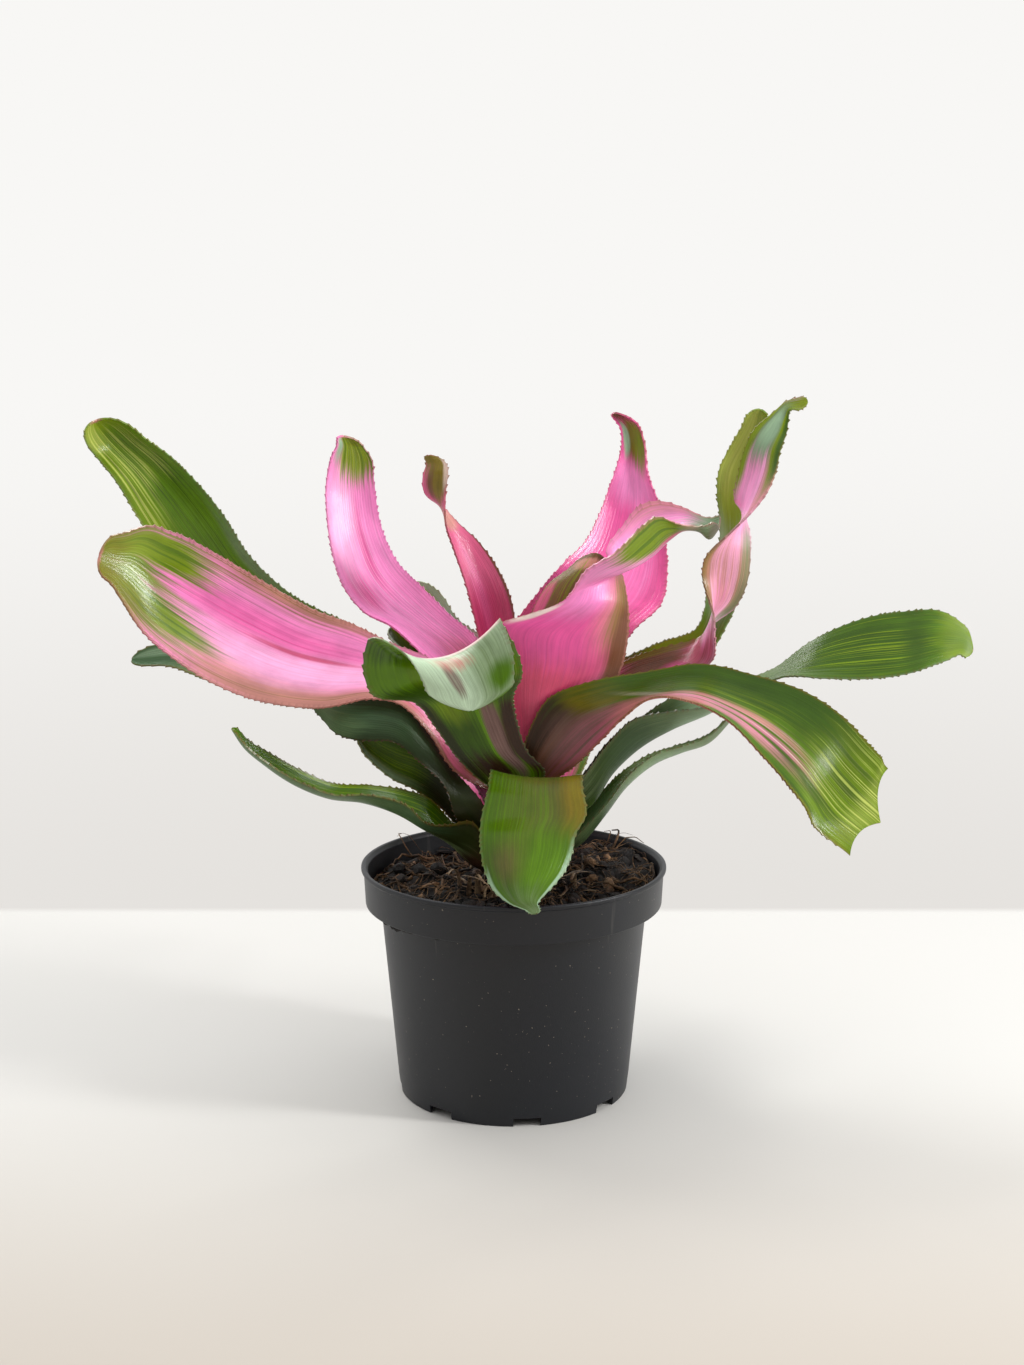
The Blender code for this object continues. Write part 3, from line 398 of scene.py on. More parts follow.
def tint(red, green, blue):
    """A paint colour given as screen values from 0 to 255."""
    out = []
    for value in (red, green, blue):
        value /= 255.0
        out.append(value / 12.92 if value <= 0.04045 else ((value + 0.055) / 1.055) ** 2.4)
    return tuple(out) + (1.0,)


# Paint colours by name, and how strongly the leaves of each slot shine.
SHADES = {
    "green": (72, 108, 4), "leafy": (88, 128, 4), "pale": (186, 208, 176), "bright": (126, 150, 12),
    "lime": (190, 200, 100), "deep": (50, 78, 6), "dark": (38, 46, 14), "grey": (106, 128, 82),
    "mint": (158, 190, 156), "teal": (70, 100, 66), "pink": (250, 140, 204), "hot": (230, 84, 156),
    "rose": (210, 92, 132), "scarlet": (222, 78, 118), "crimson": (190, 60, 104),
    "blush": (255, 176, 222), "tan": (198, 132, 122), "olive": (124, 106, 22), "taupe": (98, 90, 44),
    "mauve": (116, 88, 82), "brown": (116, 70, 46), "umber": (54, 34, 22), "cream": (240, 214, 206),
}
PAINTS = {name: tint(*shade) for name, shade in SHADES.items()}
GLOSS = {"pink_leaf": 0.44, "green_leaf": 0.24, "grey_green_leaf": 0.3, "olive_leaf": 0.26}

# The finish of each leaf: the record's slot, body colour, colour beneath, margin colour,
# then patches from the first laid to the last. A patch is (paint, across, along, half
# width, half length, threads, softness, side, how far streaks break its edge, lean), and
# what is left off is taken from PATCH_REST. Across runs from -1 at the first margin to 1
# at the second, along from 0 at the base to 1 at the tip, side is 1 for the upper face,
# -1 for beneath and 0 for both. With threads at 1 only fine lines of the patch show,
# and at -1 only broader bands of it.
PATCH_REST = (0, 0.4, 0, 1.6, 0)
FINISHES = {
    "leaf_front_drooping": ("green_leaf", "green", "grey", "grey", [
        ("pink", 0, 0.1, 1.6, 0.2), ("deep", 0, 0.36, 1.4, 0.1), ("deep", 0, 0.62, 1.3, 0.3, -0.4, 0.6),
        ("taupe", -0.1, 0.5, 0.7, 0.14, -0.3, 0.6), ("olive", -0.85, 0.5, 0.3, 0.12, 0.2, 0.6),
        ("taupe", 0.35, 0.72, 0.4, 0.08, 0.2, 0.7), ("leafy", -0.4, 0.74, 0.6, 0.12, 0.3, 0.6),
        ("leafy", 0.4, 0.54, 0.7, 0.14, 0.6, 0.5), ("grey", 0, 1, 1.6, 0.14, 0, 0.6),
        ("mint", -1, 0.82, 0.1, 0.15), ("mint", 1, 0.86, 0.12, 0.1), ("brown", 0, 1, 1.2, 0.012)]),
    # Beneath, this leaf is pale with mauve streaks; on the folded-over flap this paint is also a painted
    # reflection of the overhead light.
    "leaf_front_folded": ("grey_green_leaf", "leafy", "pale", "grey", [
        # The dark patch at the first margin, from along 0.1 to 0.5 on the upper face, is painted shadow.
        ("deep", -0.4, 0.3, 0.5, 0.16, 0, 0.4, 1), ("dark", -0.9, 0.28, 0.22, 0.2, 0, 0.3, 1),
        ("bright", -0.4, 0.42, 0.3, 0.06, 0.5, 0.6, 1), ("umber", -0.25, 0.17, 0.5, 0.07, 0, 0.6, 1),
        ("mauve", 0.42, 0.3, 0.24, 0.16, 0, 0.3, 1, 1.2), ("umber", 0.85, 0.3, 0.24, 0.18, 0, 0.3, 1),
        ("deep", 0, 0.5, 1.2, 0.06, 0, 0.4, 1), ("bright", 0.2, 0.6, 0.5, 0.08, 0.3, 0.6, 1),
        ("lime", 0.3, 0.58, 0.5, 0.06, 1, 0.5, 1), ("deep", 0, 0.68, 1.4, 0.04, 0.4, 0.5, 1),
        ("grey", 0.65, 0.84, 0.45, 0.16, 0.2, 0.6, -1, 1),
        ("mauve", -0.12, 0.83, 0.14, 0.05, 0.3, 0.5, -1, 3.4),
        ("tan", 0.05, 0.77, 0.3, 0.03, 0.4, 0.6, -1, 3),
        ("green", 0.75, 0.86, 0.26, 0.035, 0, 0.6, -1, 1.2),
        ("cream", 0, 0.712, 1.4, 0.012, 0, 0.5, -1, 1.2), ("green", 1, 0.96, 0.25, 0.05, 0, 0.4, -1)]),
    "leaf_centre_pink": ("pink_leaf", "pink", "rose", "tan", [
        ("scarlet", 0.4, 0.2, 1, 0.17, 0, 0.4, -1, 1.2), ("hot", 0.3, 0.4, 0.9, 0.1, 0, 0.5, -1, 1.4),
        ("pink", 0.3, 0.56, 0.8, 0.09, 0, 0.6, -1, 1.4), ("tan", -0.55, 0.5, 0.3, 0.12, 0.5, 0.6, -1),
        ("olive", -0.82, 0.47, 0.26, 0.14, 0.2, 0.5, -1, 1.8),
        # The cream strip at the second margin beneath, near along 0.46, is a painted highlight on the curled
        # edge.
        ("brown", -0.9, 0.3, 0.2, 0.2, 0, 0.4, -1, 1.4), ("cream", 0.95, 0.46, 0.14, 0.05, 0, 0.4, -1, 1),
        # On the upper face near along 0.75 the blush is the leaf's own pale pink; the cream threads over it
        # are a painted highlight.
        ("blush", 0, 0.74, 0.9, 0.18, 0.2, 0.4, 1), ("cream", 0, 0.76, 0.9, 0.14, 1, 0.4, 1),
        ("tan", -1, 0.8, 0.2, 0.14, 0.4, 0.6, 1), ("pink", 0.3, 0.67, 1.2, 0.09, 0, 0.6, -1, 1.4),
        ("blush", 0.5, 0.66, 0.5, 0.08, 0.5, 0.6, -1, 1.4),
        ("bright", 0.78, 0.77, 0.4, 0.1, 0, 0.3, -1, 1.4),
        ("green", 0.8, 0.77, 0.34, 0.08, -0.8, 0.4, -1), ("mint", 0, 1.02, 2.2, 0.16, 0, 0.2, 0, 0.8),
        ("grey", 0, 1.02, 2.2, 0.16, 0.6, 0.2, 0, 0.8), ("green", 0, 0.95, 1.2, 0.06, 0.8),
        ("brown", 0, 0.868, 0.3, 0.012, 0, 0.5, 0, 0.6)]),
    "leaf_right_arching": ("green_leaf", "green", "rose", "olive", [
        ("brown", 0, 0.08, 1.6, 0.2), ("umber", -0.6, 0.2, 0.5, 0.12), ("brown", 0.5, 0.17, 0.8, 0.08),
        ("rose", 0.55, 0.29, 0.5, 0.12, 0, 0.5), ("brown", 0.4, 0.24, 0.6, 0.1, 0.6, 0.6, 0, 1.8),
        ("tan", 0.6, 0.38, 0.45, 0.08, 0.3, 0.5, 0, 1.8),
        ("mauve", 0.2, 0.25, 0.6, 0.11, 0.3, 0.6, 0, 1.8), ("olive", -0.5, 0.33, 0.5, 0.06),
        ("bright", -0.5, 0.48, 0.4, 0.1, 0.5, 0.5, 0, 1.8),
        # The thin slanting cream streak at along 0.42 is a painted highlight.
        ("cream", 0, 0.42, 0.36, 0.018, 0.6, 0.6, 0, 1.4, 0.13), ("tan", 0.75, 0.5, 0.4, 0.06),
        ("deep", -0.5, 0.52, 0.8, 0.2, 0.2, 0.6), ("bright", -0.2, 0.74, 0.8, 0.2, -0.9, 0.5),
        ("deep", -0.8, 0.66, 0.6, 0.3, 0, 0.6), ("tan", 0.45, 0.65, 0.34, 0.19, 0.2, 0.4, 0, 2.2),
        ("pink", 0.5, 0.64, 0.24, 0.17, 0.7, 0.5, 0, 2.2), ("cream", 0.4, 0.7, 0.3, 0.16, 1, 0.5, 0, 2.2),
        ("green", 0.34, 0.68, 0.035, 0.2, 0, 0.6), ("green", 0.56, 0.7, 0.035, 0.18, 0, 0.6),
        ("bright", 0, 0.94, 1.4, 0.13, 0.5, 0.5), ("lime", 0, 0.9, 1, 0.1, 1),
        ("deep", 0.1, 0.84, 1.4, 0.14, -0.8, 0.5), ("lime", 0, 0.97, 1.1, 0.03, 0.8, 0.6)]),
    "leaf_left_broad_pink": ("pink_leaf", "pink", "rose", "tan", [
        ("brown", 0, 0.05, 1.6, 0.12), ("rose", -0.9, 0.22, 0.26, 0.13), ("brown", -1, 0.2, 0.1, 0.12),
        ("tan", -0.9, 0.5, 0.32, 0.28, 0, 0.6, 0, 1.8), ("olive", -0.8, 0.55, 0.36, 0.24, 0.9, 0.5),
        ("tan", -0.55, 0.62, 0.3, 0.2, -0.3, 0.7), ("blush", -0.2, 0.5, 0.36, 0.24, 0, 0.6),
        ("hot", 0.3, 0.6, 0.24, 0.2, 0.4, 0.7), ("tan", 1, 0.56, 0.2, 0.2, 0, 0.6, 0, 2.4),
        ("olive", 0.85, 0.7, 0.26, 0.2, 0.9), ("rose", 0.1, 0.52, 0.04, 0.1, 0, 0.6),
        ("bright", -0.45, 0.86, 0.42, 0.13, 0, 0.4, 0, 2.6),
        ("green", -0.42, 0.85, 0.4, 0.14, -0.9, 0.4, 0, 2.6),
        ("bright", 0.62, 0.87, 0.36, 0.13, 0, 0.4, 0, 2.6),
        ("green", 0.6, 0.86, 0.34, 0.13, -0.9, 0.4, 0, 2.6),
        ("bright", 0, 0.99, 1.4, 0.14, 0, 0.4, 0, 1.8), ("lime", 0.1, 0.95, 1, 0.08, -0.7, 0.5, 0, 1.8),
        ("green", 0, 0.93, 1.4, 0.1, -0.8, 0.4, 0, 2), ("bright", 0, 0.95, 1, 0.08, 0.6),
        ("olive", 0, 0.97, 1.4, 0.05, 0.6), ("olive", -0.7, 0.93, 0.4, 0.1, 0.7, 0.6, 0, 1.8),
        ("tan", 0, 1, 1.4, 0.018, 0, 0.5, 0, 2)]),
    "leaf_left_upper_green": ("green_leaf", "leafy", "grey", "grey", [
        ("pink", 0.1, 0.2, 0.9, 0.24), ("bright", 0, 0.62, 1, 0.3, 0.9),
        ("deep", 0.3, 0.74, 0.6, 0.24, 0.7, 0.6, 0, 1.8),
        ("bright", -0.75, 0.82, 0.4, 0.18, -0.5, 0.5, 0, 1.8), ("grey", 0.9, 0.63, 0.16, 0.12, 0, 0.6),
        ("lime", -0.7, 0.88, 0.5, 0.12, -1), ("lime", 0, 0.93, 1.3, 0.07, -0.9),
        ("deep", 0.1, 0.9, 1, 0.1, 1), ("bright", 0, 1, 1.4, 0.03),
        ("lime", -0.7, 0.97, 0.4, 0.025, -0.6, 0.6), ("tan", 0, 1, 1.4, 0.01)]),
    "leaf_left_behind_pink": ("green_leaf", "grey", "grey", "olive", [
        ("pink", 0, 0.3, 1.4, 0.4), ("blush", 0.2, 0.6, 0.6, 0.14), ("teal", 0, 0.97, 1.4, 0.09),
        ("mint", 0.4, 0.9, 0.4, 0.09, 0.6, 0.5)]),
    "leaf_upright_pink": ("pink_leaf", "pink", "rose", "pink", [
        ("rose", 0.2, 0.25, 0.5, 0.08, 0, 0.8), ("rose", 0, 0.15, 1.6, 0.12),
        ("hot", -0.5, 0.56, 0.32, 0.07, 0, 0.6), ("hot", 0.2, 0.66, 0.16, 0.12, 0, 0.6),
        # The first blush patch, toward the first margin near along 0.74, is pale pink that also stands for
        # the leaf's sheen there: partly painted highlight.
        ("blush", -0.45, 0.74, 0.55, 0.14, 0, 0.6), ("blush", 0, 0.6, 0.9, 0.3, 0.9, 0.5),
        ("bright", 0.35, 0.94, 0.95, 0.1, 0, 0.3, 0, 2.4),
        ("green", 0.4, 0.93, 0.85, 0.1, -1, 0.4, 0, 2.4), ("lime", 0.1, 0.88, 0.5, 0.05, 1),
        ("mint", -0.7, 0.93, 0.2, 0.04, 0, 0.6), ("tan", -0.2, 1, 1, 0.022, 0, 0.5, 0, 2.2)]),
    "leaf_back_pale": ("grey_green_leaf", "mint", "grey", "olive", [
        ("pink", 0, 0.3, 1.4, 0.34), ("bright", -0.3, 0.92, 0.7, 0.1), ("mint", 0.7, 0.91, 0.34, 0.1),
        ("lime", 0, 0.9, 0.9, 0.1, 1)]),
    "leaf_back_left_short": ("green_leaf", "dark", "grey", "olive", [
        ("pink", 0, 0.2, 1.4, 0.3), ("deep", 0, 0.85, 0.9, 0.16), ("mint", -1, 0.88, 0.18, 0.14),
        ("mint", 1, 0.88, 0.18, 0.14), ("bright", 0.1, 0.92, 0.4, 0.08, 0.8)]),
    "leaf_centre_twisted": ("pink_leaf", "rose", "rose", "brown", [
        ("crimson", 0, 0.4, 1.4, 0.1, 0, 0.5, 1), ("tan", 0, 0.73, 1.2, 0.04),
        ("brown", 1, 0.55, 0.08, 0.18), ("pink", -0.3, 0.5, 0.3, 0.16, 0.9),
        ("brown", 0, 0.86, 0.6, 0.07), ("olive", -0.5, 0.86, 0.6, 0.08),
        ("olive", 0, 0.94, 1.4, 0.06, 0, 0.4, 0, 1.8), ("cream", -0.9, 0.88, 0.2, 0.06, 0.5, 0.4, 0, 1.2)]),
    "leaf_back_right_magenta": ("pink_leaf", "hot", "rose", "rose", [
        ("rose", 0, 0.2, 1.6, 0.2), ("pink", 0.3, 0.6, 0.4, 0.16, 0.5, 0.5),
        ("pink", 0, 0.78, 1, 0.06, 0, 0.6), ("olive", 0.2, 0.89, 0.9, 0.06, 0, 0.4, 0, 2.2),
        ("bright", 0.5, 0.86, 0.4, 0.05, -0.6, 0.5, 0, 2), ("bright", 0.3, 0.9, 0.5, 0.06, 0.8),
        ("mint", -0.6, 0.89, 0.26, 0.05), ("brown", 0, 1, 1.4, 0.055)]),
    "leaf_inner_olive": ("olive_leaf", "olive", "taupe", "brown", [
        ("rose", 0, 0.3, 1.4, 0.3), ("brown", 0, 0.8, 1.4, 0.2, 0.3, 0.5), ("rose", 0.8, 0.68, 0.2, 0.09),
        ("tan", 0, 0.88, 0.8, 0.04), ("bright", 0, 0.78, 0.9, 0.14, 0.9)]),
    "leaf_right_twisted_pink": ("pink_leaf", "blush", "blush", "olive", [
        ("rose", 0, 0.12, 1.6, 0.2), ("brown", 0, 0.33, 1.4, 0.09), ("olive", -0.95, 0.35, 0.2, 0.09),
        ("hot", 0, 0.37, 0.2, 0.03, 0, 0.6), ("rose", 0, 0.43, 1, 0.05),
        ("brown", 0, 0.4, 1, 0.08, 0.6, 0.6), ("grey", -0.75, 0.58, 0.34, 0.1),
        ("pink", 0.2, 0.5, 0.44, 0.06), ("olive", 0.9, 0.58, 0.18, 0.1),
        ("tan", 0.15, 0.58, 0.9, 0.1, -0.5, 0.6), ("pink", -0.3, 0.75, 0.7, 0.07, 0.4, 0.6),
        ("tan", 0.72, 0.75, 0.34, 0.08), ("blush", 0, 0.72, 0.9, 0.1, 0.8), ("grey", 0, 0.89, 1.2, 0.08),
        ("mint", 0, 0.87, 0.6, 0.05, 0, 0.6), ("bright", -0.9, 0.84, 0.26, 0.1),
        ("bright", 0.8, 0.85, 0.3, 0.1), ("green", 0.9, 0.86, 0.16, 0.1), ("bright", 0, 0.99, 1.4, 0.07),
        ("olive", 0, 0.96, 0.8, 0.04, 0.9)]),
    "leaf_right_upright_green": ("green_leaf", "green", "grey", "grey", [
        ("rose", 0, 0.1, 1.6, 0.2), ("olive", 0, 0.42, 1.2, 0.12, 0.5, 0.5),
        ("grey", 0.1, 0.44, 0.5, 0.12, 0.6, 0.5), ("grey", 0, 0.74, 0.9, 0.05),
        ("bright", 0, 0.92, 1.4, 0.16), ("pale", -0.2, 0.7, 1.3, 0.13, 0.3, 0.6, 0, 1),
        ("bright", 0, 0.8, 1.2, 0.1, 0, 0.6, 0, 1.2), ("lime", -0.3, 0.9, 0.9, 0.12, 0.4, 0.6, 0, 1.2),
        ("green", 0.3, 0.92, 0.5, 0.12, 0.7, 0.5)]),
    "leaf_left_dark": ("green_leaf", "deep", "dark", "umber", [
        ("umber", 0, 0.12, 1.6, 0.16), ("dark", 0, 0.4, 1.5, 0.3), ("teal", 0.2, 0.6, 0.7, 0.2, 0.5, 0.6),
        ("green", -0.8, 0.4, 0.16, 0.08, 0.5, 0.6), ("teal", 0.3, 0.86, 0.8, 0.14, 0, 0.5),
        ("grey", 0.5, 0.84, 0.5, 0.12, 0.7)]),
    "leaf_left_low_green": ("green_leaf", "deep", "grey", "olive", [
        ("dark", 0, 0.3, 1.6, 0.26), ("green", 0.2, 0.72, 0.8, 0.18, 0.3, 0.5),
        ("grey", -0.8, 0.76, 0.3, 0.2), ("mint", -0.85, 0.8, 0.2, 0.14, 0.5, 0.6),
        ("bright", 0.1, 0.75, 0.9, 0.2, 0.9)]),
    "leaf_left_long_narrow": ("green_leaf", "deep", "grey", "olive", [
        ("umber", 0, 0.05, 1.6, 0.12), ("dark", -0.7, 0.2, 0.4, 0.14),
        ("teal", -0.7, 0.6, 0.4, 0.34, 0, 0.4, 0, 1.4), ("grey", -0.7, 0.65, 0.3, 0.26, 0.5, 0.5),
        ("green", 0.6, 0.5, 0.4, 0.4, 0.4, 0.5), ("bright", 0.7, 0.6, 0.3, 0.4, 1),
        ("green", 0, 0.97, 1.4, 0.05)]),
    "leaf_right_long_grey": ("grey_green_leaf", "grey", "grey", "grey", [
        ("umber", 0, 0.03, 1.6, 0.07), ("deep", 0, 0.2, 1.5, 0.1), ("teal", 0, 0.28, 1.2, 0.1, 0.4, 0.5),
        ("mint", 0, 0.39, 0.9, 0.05, 0.4, 0.5), ("green", 0, 0.5, 0.8, 0.06, 0.5, 0.5, 0, 1.8),
        ("green", 0, 0.8, 1.8, 0.19), ("deep", 0, 0.74, 1.4, 0.12, -0.3, 0.6),
        ("bright", 0, 0.78, 0.9, 0.15, 1, 0.5), ("deep", 0, 0.835, 1.4, 0.022, 0.3, 0.9, 0, 1.2),
        ("bright", 0, 0.95, 1.4, 0.06), ("green", 0, 0.94, 0.8, 0.06, 0.5, 0.5), ("tan", 0, 1, 1.4, 0.008)]),
    "leaf_right_low_grey": ("grey_green_leaf", "grey", "grey", "grey", [
        ("umber", 0, 0.04, 1.6, 0.09), ("deep", -0.85, 0.33, 0.3, 0.16),
        ("teal", 0, 0.3, 0.9, 0.16, 0.3, 0.6), ("mint", 0.2, 0.62, 0.6, 0.2, 0.6, 0.6),
        ("green", 0, 0.6, 0.8, 0.3, 0.9, 0.5)]),
    "leaf_rear_long": ("green_leaf", "green", "grey", "olive", [
        ("pink", 0, 0.25, 0.8, 0.25), ("bright", 0, 0.6, 0.9, 0.4, 0.9), ("bright", 0, 0.9, 1.2, 0.1),
        ("brown", 0, 1, 1.4, 0.02)]),
    "leaf_rear_right": ("green_leaf", "green", "grey", "olive", [
        ("hot", 0, 0.3, 0.6, 0.22), ("bright", 0, 0.6, 0.9, 0.4, 0.9), ("mint", 0.6, 0.7, 0.3, 0.1),
        ("bright", 0, 0.92, 1.2, 0.08), ("brown", 0, 1, 1.4, 0.02)]),
    "leaf_rear_left": ("green_leaf", "green", "grey", "olive", [
        ("rose", 0, 0.3, 0.7, 0.25), ("pink", 0.2, 0.4, 0.4, 0.2, 0.6, 0.5),
        ("bright", 0, 0.7, 0.9, 0.3, 0.9), ("deep", -0.6, 0.7, 0.3, 0.2), ("brown", 0, 1, 1.4, 0.02)]),
}

# Colours of earthy things, darker and lighter, and their roughness.
EARTHS = {
    "peat": ((7, 5, 4), (26, 17, 12), 0.9), "pale_bark": ((44, 29, 18), (150, 114, 78), 0.85),
    "bark_crumbs": ((7, 5, 4), (38, 25, 17), 0.9), "papery_husk": ((96, 70, 48), (186, 158, 122), 0.7),
    "root_hairs": ((22, 14, 9), (132, 100, 66), 0.85), "stem_skin": ((84, 74, 44), (122, 128, 70), 0.7),
}
BACKDROP = tint(248, 247, 245)

# Grain of a leaf: how fine it is across and along, then its shift, detail and roughness.
GRAIN = {
    "Fibre": (30.0, 0.014, 0.0, 3.0, 0.6), "Streak": (7.0, 0.014, 5.3, 3.0, 0.6),
    "Mottle": (3.0, 0.07, 11.7, 4.0, 0.55), "Flecks": (44.0, 0.9, 17.1, 2.0, 0.5),
    "Threads": (36.0, 0.008, 23.9, 2.0, 0.5), "Bands": (13.0, 0.01, 31.3, 3.0, 0.55),
}
GRAIN_TURN = 1.37
RIBS = 70.0
RIB_HEIGHT = 0.1
FIBRE_HEIGHT = 0.9
FLECK_HEIGHT = 0.22
THREAD_SHOW = 0.7
MARGIN_STRENGTH = 0.35
TOOTH_STRENGTH = 0.4
DUST_STRENGTH = 0.7
SCUFF_STRENGTH = 0.2


# Finishes

def wire(tree, socket, value):
    """Join a socket to another one, or set it to a plain value."""
    if isinstance(value, bpy.types.NodeSocket):
        tree.links.new(value, socket)
    else:
        socket.default_value = value


def put(tree, kind, inputs=(), **settings):
    """Add a shader node with its settings and its inputs."""
    node = tree.nodes.new("ShaderNode" + kind)
    for key, value in settings.items():
        setattr(node, key, value)
    for key, value in dict(inputs).items():
        wire(tree, node.inputs[key], value)
    return node


def sums(tree, operation, a, b=0.0, c=0.0):
    """One sum of up to three numbers."""
    return put(tree, "Math", {0: a, 1: b, 2: c}, operation=operation).outputs[0]


def mixed(tree, share, a, b, mode="MIX"):
    """Colour a turning into colour b by the share."""
    parts = {0: share, 6: a, 7: b}
    return put(tree, "Mix", parts, data_type="RGBA", blend_type=mode).outputs[2]


def ranged(tree, value, low, high, to_low=0.0, to_high=1.0, ease="SMOOTHSTEP"):
    """A value moved from one range into another and held at its ends."""
    ends = {"Value": value, "From Min": low, "From Max": high, "To Min": to_low, "To Max": to_high}
    return put(tree, "MapRange", ends, interpolation_type=ease).outputs[0]


def noise(tree, vector, scale, detail=3.0, rough=0.55):
    """Cloudy noise from 0 to 1."""
    kind = {"Vector": vector, "Scale": scale, "Detail": detail, "Roughness": rough}
    return put(tree, "TexNoise", kind).outputs["Fac"]


def new_group(name, takes, gives):
    """An empty node group whose inputs and outputs are numbers with these names."""
    group = bpy.data.node_groups.new(name, "ShaderNodeTree")
    for way, labels in (("INPUT", takes), ("OUTPUT", gives)):
        for label in labels:
            group.interface.new_socket(label, in_out=way, socket_type="NodeSocketFloat")
    inputs = group.nodes.new("NodeGroupInput").outputs
    return group, inputs, group.nodes.new("NodeGroupOutput").inputs


def use_group(tree, group, inputs):
    """Put a node group in the tree and give its outputs."""
    return put(tree, "Group", inputs, node_tree=group).outputs


def make_leaf_grain():
    """Fibres, streaks, threads and mottling that run along a blade, and the ribs' height."""
    outputs = ["Fibre", "Streak", "Threads", "Bands", "Mottle", "Height"]
    group, takes, gives = new_group("leaf_grain", ["Across", "Along", "Ribs", "Turn"], outputs)
    grain = {}
    for label, (across, along, shift, detail, rough) in GRAIN.items():
        turn = sums(group, "ADD", takes["Turn"], shift)
        where = put(group, "CombineXYZ", {
            "X": sums(group, "MULTIPLY", takes["Across"], across),
            "Y": sums(group, "MULTIPLY", takes["Along"], along), "Z": turn}).outputs[0]
        grain[label] = noise(group, where, 1.0, detail, rough)
    grain["Threads"] = ranged(group, grain["Threads"], 0.54, 0.63)
    grain["Bands"] = ranged(group, grain["Bands"], 0.49, 0.58)
    ribs = sums(group, "SINE", sums(group, "MULTIPLY", takes["Across"], takes["Ribs"]))
    height = sums(group, "MULTIPLY", grain["Flecks"], FLECK_HEIGHT)
    height = sums(group, "MULTIPLY_ADD", grain["Fibre"], FIBRE_HEIGHT, height)
    grain["Height"] = sums(group, "MULTIPLY_ADD", ribs, RIB_HEIGHT, height)
    for label in outputs:
        wire(group, gives[label], grain[label])
    return group


def make_soft_patch():
    """A patch of colour on a blade, with a soft edge that the streaks break up."""
    group, takes, gives = new_group("soft_patch", [
        "Across", "Along", "Field", "Lines", "Middle", "Place", "Half Width", "Half Length",
        "Lean", "Soft", "Break", "Threads"], ["Mask"])
    aside = sums(group, "SUBTRACT", takes["Across"], takes["Middle"])
    side = sums(group, "DIVIDE", aside, takes["Half Width"])
    slid = sums(group, "MULTIPLY_ADD", aside, takes["Lean"], takes["Place"])
    reach = sums(group, "SUBTRACT", takes["Along"], slid)
    reach = sums(group, "DIVIDE", reach, takes["Half Length"])
    squares = [sums(group, "MULTIPLY", way, way) for way in (side, reach)]
    away = sums(group, "SQRT", sums(group, "ADD", *squares))
    streaks = sums(group, "SUBTRACT", takes["Field"], 0.5)
    broken = sums(group, "MULTIPLY_ADD", streaks, takes["Break"], away)
    outside = sums(group, "ADD", 1.0, takes["Soft"])
    inside = sums(group, "SUBTRACT", 1.0, takes["Soft"])
    mask = ranged(group, broken, outside, inside)
    gaps = sums(group, "MULTIPLY_ADD", takes["Lines"], -THREAD_SHOW, 1.0)
    shown = sums(group, "SUBTRACT", 1.0, sums(group, "MULTIPLY", takes["Threads"], gaps))
    wire(group, gives["Mask"], sums(group, "MULTIPLY", mask, shown))
    return group


def new_material(name):
    """A new material, its node tree and its surface shader."""
    mat = bpy.data.materials.new(name)
    mat.use_nodes = True
    return mat, mat.node_tree, mat.node_tree.nodes["Principled BSDF"]


def surface(tree, shader, colour, rough, height, strength, depth):
    """Give a shader its colour, its roughness and its bumps."""
    wire(tree, shader.inputs["Base Color"], colour)
    wire(tree, shader.inputs["Roughness"], rough)
    bump = put(tree, "Bump", {"Strength": strength, "Distance": depth, "Height": height})
    wire(tree, shader.inputs["Normal"], bump.outputs[0])


def lay_patches(tree, colour, patches, across, share, grain, under):
    """Lay a leaf's patches over its body colour, from the first to the last."""
    streak = sums(tree, "MULTIPLY", grain["Streak"], 0.5)
    spot = {"Across": across, "Along": share}
    spot["Field"] = sums(tree, "MULTIPLY_ADD", grain["Fibre"], 0.5, streak)
    over = sums(tree, "SUBTRACT", 1.0, under)
    for patch in patches:
        paint, *numbers = patch + PATCH_REST[len(patch) - 5:]
        middle, where, wide, long, threads, soft, side, ragged, lean = map(float, numbers)
        mask = use_group(tree, GROUPS["patch"], spot | {
            "Lines": grain["Threads" if threads >= 0 else "Bands"], "Threads": abs(threads),
            "Middle": middle, "Place": where, "Half Width": wide, "Half Length": long,
            "Soft": soft, "Break": ragged, "Lean": lean})["Mask"]
        if side:
            mask = sums(tree, "MULTIPLY", mask, over if side > 0 else under)
        colour = mixed(tree, mask, colour, PAINTS[paint])
    return colour


